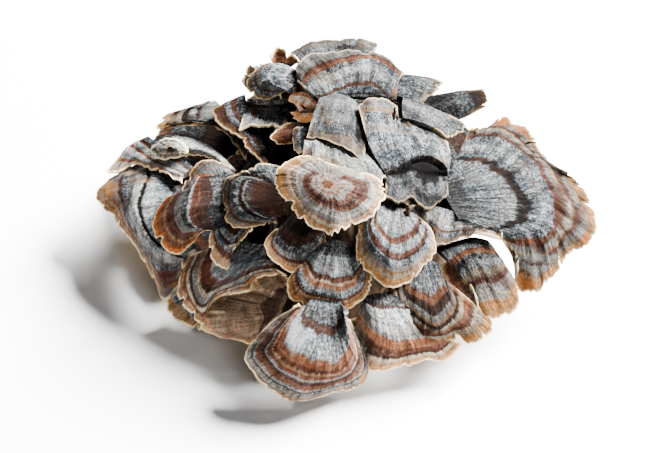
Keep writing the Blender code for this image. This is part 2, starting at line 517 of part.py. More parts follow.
def widen(sheet, margin):
    """Push the border of an open sheet outwards within its own surface."""
    moves = {}
    for vert in sheet.verts:
        border = [edge for edge in vert.link_edges if edge.is_boundary]
        if len(border) != 2:
            continue
        run = border[0].other_vert(vert).co - border[1].other_vert(vert).co
        out = run.cross(vert.normal).normalized()
        inward = sum((item.calc_center_median() for item in vert.link_faces), Vector()) / len(vert.link_faces)
        moves[vert] = -out if out.dot(inward - vert.co) > 0 else out
    for vert, out in moves.items():
        vert.co += out * margin


def to_object(name, solid, colour):
    """Put a bmesh in millimetres into the scene as an object in metres, and free it."""
    bmesh.ops.scale(solid, vec=(MM, MM, MM), verts=solid.verts)
    mesh = bpy.data.meshes.new(name)
    solid.to_mesh(mesh)
    solid.free()
    mesh.materials.append(paint(colour))
    item = bpy.data.objects.new(name, mesh)
    bpy.context.scene.collection.objects.link(item)
    return item


def cut(item, cutters):
    """Take the cutters away from an object, one after another, where they meet it."""
    for cutter in cutters:
        if not tree_of(item).overlap(tree_of(cutter)):
            continue
        whole = volume(item.data)
        tries = [pared(item, cutter, careful) for careful in (False, True)]
        sound = [mesh for mesh in tries if is_closed(mesh) and volume(mesh) > LEAST_SHARE * whole]
        item.data = min(sound or tries, key=volume)


def pared(item, cutter, careful):
    """The object's mesh less the cutter, as its largest body. Careful also copes with a folded cutter."""
    boolean = item.modifiers.new("cut", "BOOLEAN")
    boolean.operation = "DIFFERENCE"
    boolean.solver = "EXACT"
    boolean.use_self = careful
    boolean.object = cutter
    graph = bpy.context.evaluated_depsgraph_get()
    mesh = bpy.data.meshes.new_from_object(item.evaluated_get(graph))
    item.modifiers.clear()
    keep_largest(mesh)
    return mesh


def volume(mesh):
    """The volume of a closed mesh."""
    solid = bmesh.new()
    solid.from_mesh(mesh)
    size = solid.calc_volume()
    solid.free()
    return size


def is_closed(mesh):
    """Whether every edge of a mesh lies between two faces."""
    solid = bmesh.new()
    solid.from_mesh(mesh)
    closed = bool(solid.faces) and all(edge.is_manifold for edge in solid.edges)
    solid.free()
    return closed


def tree_of(item):
    """A search tree over the object's triangles."""
    solid = bmesh.new()
    solid.from_mesh(item.data)
    tree = BVHTree.FromBMesh(solid)
    solid.free()
    return tree


def keep_largest(mesh):
    """Keep only the largest body of a mesh, with its tiny edges closed up."""
    solid = bmesh.new()
    solid.from_mesh(mesh)
    bmesh.ops.remove_doubles(solid, verts=solid.verts, dist=WELD * MM)
    bmesh.ops.dissolve_degenerate(solid, edges=solid.edges, dist=WELD * MM)
    bmesh.ops.dissolve_limit(
        solid, angle_limit=FLAT_ANGLE, use_dissolve_boundaries=False, verts=solid.verts, edges=solid.edges
    )
    left = set(solid.verts)
    bodies = []
    while left:
        body = set()
        front = [left.pop()]
        while front:
            vert = front.pop()
            body.add(vert)
            near = {edge.other_vert(vert) for edge in vert.link_edges} & left
            left -= near
            front.extend(near)
        bodies.append(body)
    bodies.sort(key=lambda body: -sum(face.calc_area() for vert in body for face in vert.link_faces))
    extra = [vert for body in bodies[1:] for vert in body]
    bmesh.ops.delete(solid, geom=extra, context="VERTS")
    bmesh.ops.triangulate(solid, faces=solid.faces)
    solid.to_mesh(mesh)
    solid.free()


def woody_base(caps):
    """The stump that the caps grew from: it fills the room under them and is cut flat at the table."""
    trees = [tree_of(cap) for cap in caps]
    solid = bmesh.new()
    bmesh.ops.create_circle(solid, cap_ends=False, segments=BASE_SIDES, radius=1.0)
    rings = [list(solid.edges)]
    for ring in range(BASE_RINGS - 1):
        wider = bmesh.ops.extrude_edge_only(solid, edges=rings[-1])
        fresh = [item for item in wider["geom"] if isinstance(item, bmesh.types.BMVert)]
        shrink = (BASE_RINGS - ring - 1) / (BASE_RINGS - ring)
        bmesh.ops.scale(solid, vec=(shrink, shrink, 1.0), verts=fresh)
        rings.append([edge for edge in solid.edges if edge.verts[0] in fresh and edge.verts[1] in fresh])
    bmesh.ops.contextual_create(solid, geom=rings[-1])
    bmesh.ops.poke(solid, faces=[face for face in solid.faces if len(face.verts) > 4])
    top = list(solid.verts)
    heights = {}
    for vert in top:
        reach = vert.co.length
        turn = math.atan2(vert.co.y, vert.co.x)
        lobes = 1 + sum(size * math.sin(count * turn + start) for count, size, start in BASE_LOBES)
        place = Vector((
            BASE_CENTRE[0] + vert.co.x * BASE_RADII[0] * lobes,
            BASE_CENTRE[1] + vert.co.y * BASE_RADII[1] * lobes,
            0.0,
        ))
        limit = BASE_HEIGHT * max(0.0, 1 - reach**4) ** 0.5 + BASE_FOOT
        heights[vert] = room_under(trees, place, limit)
        vert.co = place
    bottom = bmesh.ops.extrude_face_region(solid, geom=list(solid.faces), use_keep_orig=True)
    for vert in (item for item in bottom["geom"] if isinstance(item, bmesh.types.BMVert)):
        vert.co.z = 0.0
    for vert, height in heights.items():
        vert.co.z = height
    bmesh.ops.recalc_face_normals(solid, faces=solid.faces)
    settle(solid, heights, trees)
    cut_face = [face for face in solid.faces if all(vert.co.z == 0.0 for vert in face.verts)]
    bmesh.ops.dissolve_faces(solid, faces=cut_face)
    bmesh.ops.triangulate(solid, faces=solid.faces)
    return to_object("woody_base", solid, "wood")


def room_under(trees, place, limit):
    """How high the base may reach at a place, in millimetres, before it meets the lowest cap."""
    height = limit
    for tree in trees:
        for side in (-1, 0, 1):
            start = (place + Vector((side, abs(side), 0.0)) * ROOM_SIDE) * MM
            hit = tree.ray_cast(start, Vector((0, 0, 1)))[0]
            if hit is not None:
                height = min(height, hit.z / MM)
    return max(height, BASE_FOOT)


def settle(solid, heights, trees):
    """Lower the top of the base wherever it still meets a cap."""
    for _ in range(SETTLE_TRIES):
        bmesh.ops.scale(solid, vec=(MM, MM, MM), verts=solid.verts)
        own = BVHTree.FromBMesh(solid)
        bmesh.ops.scale(solid, vec=(1 / MM, 1 / MM, 1 / MM), verts=solid.verts)
        solid.faces.ensure_lookup_table()
        met = {own_face for tree in trees for own_face, _ in own.overlap(tree)}
        touched = {vert for index in met for vert in solid.faces[index].verts if vert in heights}
        if not touched:
            break
        for vert in touched:
            vert.co.z = max(vert.co.z - SETTLE_STEP, BASE_FOOT)


def build():
    """Model every cap, part them from each other, and grow the base under them."""
    for item in list(bpy.data.objects):
        bpy.data.objects.remove(item, do_unlink=True)
    caps = []
    cutters = []
    for cap in all_caps():
        item = to_object(cap.name, cap_mesh(cap), cap.paint)
        cut(item, cutters)
        caps.append(item)
        cutters.append(to_object("clearance_" + cap.name, cap_mesh(cap, GAP), cap.paint))
    woody_base(cutters)
    for cutter in cutters:
        bpy.data.objects.remove(cutter, do_unlink=True)


build()
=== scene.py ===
"""The looks of a dried turkey tail cluster: fine, furry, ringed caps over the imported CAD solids.

Every cap is a fan given by growth rings, the same rings as in the CAD: curves from the root at 0 to the
rim at 1, whose points are a column and a row of the 645 x 453 picture and a height in millimetres above
the table. The fine sheet of a cap adds what the solid leaves out: rings that stand proud, streaks along
the growth, fur, a ruffled and ragged rim, and pores underneath. All lengths here are in millimetres
until a mesh is written in metres.
"""

from __future__ import annotations

import logging
import math
from collections.abc import Callable
from dataclasses import dataclass
from enum import Enum

import bmesh
import bpy
import numpy as np
from mathutils import Matrix, Vector
from mathutils.bvhtree import BVHTree

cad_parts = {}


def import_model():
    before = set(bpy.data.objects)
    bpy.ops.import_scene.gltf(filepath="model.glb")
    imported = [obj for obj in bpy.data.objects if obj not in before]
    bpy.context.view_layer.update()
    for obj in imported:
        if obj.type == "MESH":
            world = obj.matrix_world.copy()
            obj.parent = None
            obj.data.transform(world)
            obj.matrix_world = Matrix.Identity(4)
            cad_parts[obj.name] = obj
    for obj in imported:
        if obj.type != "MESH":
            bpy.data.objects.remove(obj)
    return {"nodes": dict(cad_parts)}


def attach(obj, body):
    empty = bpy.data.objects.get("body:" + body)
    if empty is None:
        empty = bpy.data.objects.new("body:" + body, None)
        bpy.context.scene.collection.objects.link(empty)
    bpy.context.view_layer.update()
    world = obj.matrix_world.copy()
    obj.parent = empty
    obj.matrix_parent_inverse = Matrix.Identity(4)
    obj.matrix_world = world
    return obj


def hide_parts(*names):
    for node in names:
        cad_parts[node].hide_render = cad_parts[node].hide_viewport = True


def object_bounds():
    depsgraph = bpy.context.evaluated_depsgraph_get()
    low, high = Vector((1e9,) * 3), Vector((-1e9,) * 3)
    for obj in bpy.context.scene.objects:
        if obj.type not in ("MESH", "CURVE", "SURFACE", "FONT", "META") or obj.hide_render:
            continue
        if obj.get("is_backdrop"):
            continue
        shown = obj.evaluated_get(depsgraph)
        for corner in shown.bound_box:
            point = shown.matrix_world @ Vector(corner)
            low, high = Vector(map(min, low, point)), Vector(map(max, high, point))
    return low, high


logging.basicConfig(level=logging.INFO, format="%(message)s")
log = logging.getLogger("turkey_tail")

MM = 0.001

# How the picture sees the cluster
CLUSTER_WIDTH = 112.0
PICTURE_CENTRE = (322.5, 226.5)
WIDEST_COLUMNS = (95, 594)
LENS_PIXELS = 1523.0
LENS = 85.0
SENSOR = 36.0
VIEW_ELEVATION = math.radians(42)
AIM = np.array((-4.25, -3.1, 15.0))
TO_EYE = np.array((0.0, -math.cos(VIEW_ELEVATION), math.sin(VIEW_ELEVATION)))
PICTURE_UP = np.array((0.0, math.sin(VIEW_ELEVATION), math.cos(VIEW_ELEVATION)))
DISTANCE = LENS_PIXELS * CLUSTER_WIDTH / (WIDEST_COLUMNS[1] - WIDEST_COLUMNS[0])

# The flesh
ROOT_THICKNESS = 2.0
RIM_THICKNESS = 0.9
BASE_CENTRE = (1.5, -5.07)
SHELF_ROOT_OPENING = 0.4
SHELF_ROUNDNESS = 0.5
SHELF_DROOP = 6.0
SHEEN = 0.012
USUAL_MARGIN = 0.45
# The brightest that the pale lip and its painted highlight may get
PALEST_LIP = 0.9
DARKEST_PORES = 0.3

# How fine the sheets are
FINE_STEP = 0.32
MOST_CELLS = 42000
ROUGH_COLUMNS = 41
ROUGH_ROWS = 17
HOLLOW_SHADE_COLUMNS = 22
HOLLOW_SHADE_ROWS = 10
SHARP_EDGE = math.radians(62)

# In metres
BOX_MARGIN = 0.00002

Points = np.ndarray
Colour = tuple[float, ...]
Cells = tuple[float, float, float]
Spot = tuple[float, float, float]
Rings = list[tuple[float, list[Spot]]]


@dataclass(frozen=True)
class Dye:
    """One colour of the flesh.

    Attributes:
        red, green, blue: the colour as sRGB shares from 0 to 1.
        fur: how thickly fur covers flesh of this colour, from 0 to 1.
    """

    red: float
    green: float
    blue: float
    fur: float

    def linear(self, shade: float) -> Colour:
        """The colour as a shader wants it.

        Args:
            shade: how much of the light the flesh gives back, as a share of the full colour.

        Returns:
            Linear red, green and blue, and full alpha.
        """
        red, green, blue = (
            shade * (c / 12.92 if c <= 0.04045 else ((c + 0.055) / 1.055) ** 2.4)
            for c in (self.red, self.green, self.blue)
        )
        return red, green, blue, 1.0


class Tone(Enum):
    """The tones that the growth rings are made of."""

    MIST = Dye(0.68, 0.69, 0.69, 1.0)
    SILVER = Dye(0.52, 0.54, 0.55, 0.9)
    FOG = Dye(0.70, 0.685, 0.65, 0.4)
    ASH = Dye(0.55, 0.54, 0.52, 0.3)
    SLATE = Dye(0.36, 0.40, 0.435, 0.75)
    SMOKE = Dye(0.22, 0.22, 0.225, 0.4)
    SOOT = Dye(0.10, 0.08, 0.075, 0.04)
    UMBER = Dye(0.25, 0.165, 0.13, 0.06)
    CHESTNUT = Dye(0.41, 0.245, 0.175, 0.1)
    RUST = Dye(0.59, 0.37, 0.245, 0.14)
    TAN = Dye(0.69, 0.53, 0.38, 0.2)
    SAND = Dye(0.76, 0.68, 0.56, 0.35)
    CREAM = Dye(1.0, 0.89, 0.70, 0.1)
    OCHRE = Dye(0.88, 0.63, 0.37, 0.08)
    AMBER = Dye(0.95, 0.52, 0.22, 0.05)
    PORE = Dye(0.50, 0.40, 0.31, 0.1)


MIST, SILVER, FOG, ASH, SLATE, SMOKE, SOOT, UMBER, CHESTNUT, RUST, TAN, SAND, CREAM, OCHRE, AMBER, PORE = Tone


class Slot(Enum):
    """The material slots of the record that the caps take their finish from."""

    GREY = "grey_zones"
    PALE = "pale_zones"
    BROWN = "brown_zones"
    TAN = "tan_zones"
    DARK = "dark_zones"
    PORES = "pore_face"
    WOOD = "woody_base"


Bands = tuple[tuple[float, Tone], ...]


@dataclass(frozen=True)
class PaintedMark:
    """A local mark painted on a cap, where the picture shows it: a stain of the flesh's own colour, or
    painted shade in a hole, under an overhang or along a gap.

    Attributes:
        column, row: the middle of the mark in the picture.
        wide, tall: how far it reaches in the picture, in columns and rows.
        tone: its tone.
        strength: how strongly it covers the rings, from 0 to 1.
    """

    column: float
    row: float
    wide: float
    tall: float
    tone: Tone
    strength: float = 0.8


@dataclass(frozen=True)
class Texture:
    """How rough the sheet of a cap is, in millimetres.

    Attributes:
        ruffle: how far the rim waves up and down.
        ragged: how far the rim is notched.
        tear: how deep the tears of the rim are.
        wrinkle: how deep the creases along the growth are.
        proud: how far furry rings stand above bare ones.
        tuft: how high the tufts of fur are.
        wander: how far the rings wander, as a share of growth.
    """

    ruffle: float = 0.6
    ragged: float = 0.75
    tear: float = 1.1
    wrinkle: float = 0.16
    proud: float = 0.2
    tuft: float = 0.11
    wander: float = 0.05


# Growth rings of each cap, as the share of its growth where a tone begins
PATTERNS: dict[str, Bands] = {
    "cap_centre_disc": (
        (0.0, RUST), (0.05, CHESTNUT), (0.1, TAN), (0.15, ASH), (0.21, RUST), (0.25, ASH), (0.34, CHESTNUT),
        (0.41, UMBER), (0.49, CHESTNUT), (0.56, ASH), (0.66, FOG), (0.72, ASH), (0.78, RUST), (0.81, SAND),
        (0.87, TAN), (0.93, OCHRE)),
    "cap_pale_sheet": ((0.0, SILVER), (0.25, MIST), (0.45, SILVER), (0.6, MIST), (0.78, SAND), (0.9, MIST)),
    "cap_pale_flow": ((0.0, MIST), (0.3, SILVER), (0.45, MIST), (0.65, SILVER), (0.85, SAND)),
    "cap_tube_hood": (
        (0.0, SMOKE), (0.08, SLATE), (0.34, SILVER), (0.48, SLATE), (0.6, FOG), (0.7, SLATE), (0.84, TAN),
        (0.88, ASH)),
    "cap_pale_flap": ((0.0, SILVER), (0.3, MIST), (0.75, SILVER), (0.93, SMOKE)),
    "cap_fuzzy_lobe": ((0.0, SOOT), (0.25, SMOKE), (0.4, SILVER), (0.65, MIST)),
    "cap_right_fan": (
        (0.0, SMOKE), (0.1, SLATE), (0.21, SILVER), (0.31, UMBER), (0.335, SOOT), (0.38, SLATE),
        (0.45, SILVER), (0.56, SLATE), (0.69, CHESTNUT), (0.755, ASH), (0.80, SAND), (0.83, CHESTNUT),
        (0.87, ASH), (0.92, TAN), (0.95, OCHRE)),
    "cap_under_disc_right": (
        (0.0, SMOKE), (0.1, SILVER), (0.33, CHESTNUT), (0.40, SILVER), (0.49, CHESTNUT), (0.54, UMBER),
        (0.58, SLATE), (0.68, ASH), (0.76, TAN), (0.82, SAND), (0.9, OCHRE)),
    "cap_front_ridge": (
        (0.0, SILVER), (0.16, MIST), (0.38, SAND), (0.46, MIST), (0.62, RUST), (0.67, SILVER), (0.82, SAND)),
    "cap_under_disc_left": (
        (0.0, SOOT), (0.3, UMBER), (0.46, SMOKE), (0.6, ASH), (0.7, CHESTNUT), (0.78, TAN), (0.88, OCHRE)),
    "cap_under_disc_front": (
        (0.0, SMOKE), (0.2, SILVER), (0.42, CHESTNUT), (0.49, SAND), (0.52, RUST), (0.60, ASH),
        (0.66, SLATE), (0.74, CHESTNUT), (0.80, TAN), (0.86, RUST), (0.91, OCHRE)),
    "cap_left_square": (
        (0.0, UMBER), (0.2, CHESTNUT), (0.36, SMOKE), (0.45, MIST), (0.48, UMBER), (0.56, SLATE),
        (0.68, ASH), (0.76, CHESTNUT), (0.84, ASH), (0.93, TAN)),
    "cap_behind_disc": ((0.0, SILVER), (0.35, MIST), (0.55, SLATE), (0.75, SILVER)),
    "cap_left_pointed": (
        (0.0, SMOKE), (0.2, CHESTNUT), (0.35, SILVER), (0.5, UMBER), (0.58, SLATE), (0.7, CHESTNUT),
        (0.82, TAN)),
    "cap_left_orange": (
        (0.0, SMOKE), (0.22, UMBER), (0.38, CHESTNUT), (0.49, MIST), (0.525, SMOKE), (0.60, ASH),
        (0.70, CHESTNUT), (0.82, TAN), (0.87, RUST), (0.95, AMBER)),
    "cap_left_hood": (
        (0.0, SLATE), (0.25, MIST), (0.48, SILVER), (0.58, OCHRE), (0.62, ASH), (0.75, CHESTNUT),
        (0.79, ASH), (0.84, CHESTNUT), (0.88, OCHRE)),
    "cap_spiral": ((0.0, SOOT), (0.16, SAND), (0.36, SILVER), (0.52, SAND), (0.66, SLATE), (0.82, FOG)),
    "cap_spiral_arm": (
        (0.0, CHESTNUT), (0.08, SILVER), (0.28, MIST), (0.55, SILVER), (0.75, SLATE), (0.9, SAND)),
    "cap_left_crest": (
        (0.0, SLATE), (0.12, CHESTNUT), (0.22, SILVER), (0.38, RUST), (0.46, MIST), (0.62, ASH),
        (0.72, CHESTNUT), (0.79, ASH)),
    "cap_left_big": (
        (0.0, SMOKE), (0.14, SLATE), (0.3, SILVER), (0.43, SOOT), (0.485, MIST), (0.62, ASH), (0.69, SLATE),
        (0.76, CHESTNUT), (0.81, ASH), (0.86, RUST), (0.90, TAN)),
    "cap_left_lower": (
        (0.0, SMOKE), (0.2, SILVER), (0.38, CHESTNUT), (0.47, UMBER), (0.54, SAND), (0.6, ASH), (0.7, UMBER),
        (0.77, SAND), (0.84, CHESTNUT), (0.9, TAN)),
    "cap_left_hem": ((0.0, SMOKE), (0.3, SLATE), (0.6, TAN)),
    "cap_lower_pores": ((0.0, UMBER), (0.25, PORE), (0.9, TAN)),
    "cap_front": (
        (0.0, SLATE), (0.1, SMOKE), (0.2, UMBER), (0.27, SLATE), (0.34, SILVER), (0.455, RUST),
        (0.53, CHESTNUT), (0.585, TAN), (0.605, CHESTNUT), (0.66, ASH), (0.69, UMBER), (0.75, CHESTNUT),
        (0.82, ASH), (0.86, SOOT), (0.885, ASH), (0.965, TAN)),
    "cap_right_split": (
        (0.0, SOOT), (0.1, SILVER), (0.28, RUST), (0.4, SMOKE), (0.5, SILVER), (0.6, SAND), (0.68, CHESTNUT),
        (0.75, FOG), (0.88, OCHRE)),
    "cap_right_split_lip": ((0.0, UMBER), (0.5, CHESTNUT), (0.84, TAN)),
    "cap_right_front": (
        (0.0, SLATE), (0.14, SILVER), (0.32, RUST), (0.4, UMBER), (0.5, ASH), (0.57, TAN), (0.61, UMBER),
        (0.67, SAND), (0.73, RUST), (0.78, CHESTNUT), (0.83, SAND), (0.91, OCHRE)),
    "cap_front_right": (
        (0.0, SMOKE), (0.12, UMBER), (0.16, SILVER), (0.3, ASH), (0.48, RUST), (0.62, CHESTNUT),
        (0.72, UMBER), (0.78, SAND), (0.86, TAN), (0.91, OCHRE)),
    "cap_top_fan": (
        (0.0, SMOKE), (0.1, SLATE), (0.25, CHESTNUT), (0.33, SILVER), (0.48, MIST), (0.6, SLATE),
        (0.69, RUST), (0.78, CHESTNUT), (0.83, ASH), (0.94, FOG)),
    "cap_top_behind": (
        (0.0, SILVER), (0.3, SMOKE), (0.45, SOOT), (0.52, SILVER), (0.78, FOG), (0.92, TAN), (0.96, ASH)),
    "cap_knot": (
        (0.0, SMOKE), (0.13, SILVER), (0.26, SLATE), (0.38, MIST), (0.44, SLATE), (0.58, ASH),
        (0.7, CHESTNUT), (0.78, SLATE), (0.9, TAN)),
    "cap_knot_tab": ((0.0, UMBER), (0.3, CHESTNUT), (0.6, TAN)),
    "cap_crown_tab": ((0.0, UMBER), (0.3, RUST), (0.58, CHESTNUT), (0.82, TAN)),
    "cap_orange_curl_upper": ((0.0, RUST), (0.3, SAND), (0.75, OCHRE)),
    "cap_orange_curl_lower": ((0.0, UMBER), (0.3, TAN), (0.6, OCHRE)),
    "cap_tongue": ((0.0, UMBER), (0.4, CHESTNUT), (0.72, RUST)),
    "cap_inner_curl": ((0.0, SMOKE), (0.3, SLATE), (0.52, MIST), (0.6, SLATE), (0.85, SMOKE)),
    "cap_scoop": ((0.0, SILVER), (0.15, UMBER), (0.28, SMOKE), (0.55, SLATE), (0.78, ASH)),
    "cap_fin": ((0.0, SMOKE), (0.3, CHESTNUT), (0.5, SLATE), (0.7, CHESTNUT)),
    "cap_arch": (
        (0.0, SILVER), (0.15, SAND), (0.24, SLATE), (0.34, UMBER), (0.43, SILVER), (0.53, SOOT),
        (0.62, SAND), (0.7, UMBER), (0.84, OCHRE)),
    "cap_back_wedge": ((0.0, SLATE), (0.5, SILVER), (0.84, SLATE)),
    # The inner caps are painted mostly in dark bands, as painted shade deep in the cluster
    "inner_left": ((0.0, SOOT), (0.5, UMBER), (0.64, SMOKE), (0.8, SLATE), (0.9, TAN)),
    "inner_upper_left": ((0.0, SOOT), (0.5, UMBER), (0.66, SMOKE), (0.82, SLATE), (0.92, TAN)),
    "inner_crown": ((0.0, SOOT), (0.4, SMOKE), (0.6, UMBER), (0.85, SMOKE)),
    "inner_right": ((0.0, SOOT), (0.4, SMOKE), (0.6, UMBER), (0.85, SMOKE)),
    "cap_back_roll": ((0.0, SMOKE), (0.5, SLATE), (0.75, UMBER), (0.95, TAN)),
}

# Growth rings of the shelves that the picture hides, by the slot that they are painted from
SHELF_PATTERNS: dict[Slot, Bands] = {
    Slot.GREY: (
        (0.0, SMOKE), (0.3, SILVER), (0.45, UMBER), (0.5, SLATE), (0.64, MIST), (0.74, CHESTNUT),
        (0.8, SILVER), (0.9, TAN)),
    Slot.BROWN: (
        (0.0, SOOT), (0.25, SILVER), (0.38, CHESTNUT), (0.48, SLATE), (0.6, RUST), (0.7, UMBER),
        (0.76, SAND), (0.84, CHESTNUT), (0.9, OCHRE)),
    Slot.TAN: (
        (0.0, SMOKE), (0.3, SILVER), (0.42, RUST), (0.52, SAND), (0.62, CHESTNUT), (0.7, SILVER),
        (0.82, TAN), (0.9, OCHRE)),
}

# Caps whose sheet is rougher or smoother than that of the others
TEXTURES: dict[str, Texture] = {
    "cap_centre_disc": Texture(wander=0.09),
    "cap_pale_sheet": Texture(ruffle=0.8, wrinkle=0.32, wander=0.1),
    "cap_pale_flow": Texture(ruffle=0.8, wrinkle=0.42, wander=0.12),
    "cap_tube_hood": Texture(wrinkle=0.26),
    "cap_right_fan": Texture(ruffle=0.9, ragged=1.2, tear=1.9, wrinkle=0.34, wander=0.045),
    "cap_right_front": Texture(ragged=1.0, tear=1.6, wander=0.06),
    "cap_front_right": Texture(ragged=1.0, tear=1.6, wander=0.06),
    "cap_right_split": Texture(ragged=0.95, tear=1.5, wander=0.06),
    "cap_front_ridge": Texture(wrinkle=0.26, wander=0.08),
    "cap_left_hood": Texture(wander=0.08),
    "cap_lower_pores": Texture(wrinkle=0.3, wander=0.14),
    "cap_top_fan": Texture(wrinkle=0.24, wander=0.07),
    "cap_knot": Texture(wrinkle=0.26, wander=0.08),
}

# The tone that the last of the flesh takes on before the lip, and how strongly, where it isn't ochre
MARGINS: dict[str, tuple[Tone, float]] = {
    "cap_pale_sheet": (SAND, 0.3),
    "cap_pale_flow": (SAND, 0.3),
    "cap_tube_hood": (TAN, 0.4),
    "cap_pale_flap": (SMOKE, 0.3),
    "cap_fuzzy_lobe": (SLATE, 0.3),
    "cap_front_ridge": (TAN, 0.5),
    "cap_behind_disc": (SILVER, 0.3),
    "cap_spiral": (SAND, 0.4),
    "cap_top_fan": (SILVER, 0.3),
    "cap_top_behind": (SILVER, 0.4),
    "cap_knot": (TAN, 0.4),
    "cap_scoop": (SILVER, 0.3),
    "cap_front": (RUST, 0.4),
    "cap_left_orange": (AMBER, 0.6),
    "cap_left_hood": (RUST, 0.5),
    "cap_left_big": (TAN, 0.35),
    "cap_orange_curl_upper": (AMBER, 0.5),
    "cap_orange_curl_lower": (AMBER, 0.6),
    "inner_left": (UMBER, 0.6),
    "inner_upper_left": (UMBER, 0.6),
    "inner_crown": (UMBER, 0.6),
    "inner_right": (UMBER, 0.6),
}

# Caps whose flesh is paler or darker than that of their group: partly their own tone, partly painted light
# and shade, as some caps that lie in shade are painted paler
SHADES_AND_PAINTED_LIGHT: dict[str, float] = {
    "cap_centre_disc": 1.65,
    "cap_behind_disc": 1.6,
    "cap_pale_flow": 0.36,
    "cap_pale_sheet": 0.9,
    "cap_inner_curl": 3.6,
    "cap_under_disc_front": 1.45,
    "cap_under_disc_left": 2.5,
    "cap_tube_hood": 1.35,
    "cap_fuzzy_lobe": 0.42,
    "cap_pale_flap": 0.7,
    "cap_right_split": 0.9,
    # Painted light: the split lip lies in shade and is painted far paler to make up for it
    "cap_right_split_lip": 11.0,
    "cap_front": 1.25,
    "cap_front_right": 1.55,
    "cap_left_square": 0.44,
    "cap_left_orange": 0.8,
    "cap_left_hood": 0.6,
    "cap_left_pointed": 1.8,
    "cap_left_crest": 1.35,
    "cap_left_lower": 1.5,
    "cap_left_hem": 1.5,
    "cap_lower_pores": 3.3,
    "cap_top_behind": 0.55,
    "cap_top_fan": 0.85,
    "cap_knot": 1.8,
    "cap_knot_tab": 0.4,
    "cap_crown_tab": 4.2,
    # Painted light: the orange curls lie in shade and are painted far paler, as if lit through
    "cap_orange_curl_upper": 10.8,
    "cap_orange_curl_lower": 10.8,
    "cap_tongue": 2.4,
    "cap_scoop": 2.2,
    "cap_fin": 0.65,
    "cap_arch": 1.6,
    "cap_back_wedge": 0.55,
    "cap_back_roll": 0.25,
    "inner_left": 0.9,
    "inner_upper_left": 1.4,
    # Painted light: the inner crown lies in shade and is painted far paler to make up for it
    "inner_crown": 14.0,
    "inner_right": 3.0,
}
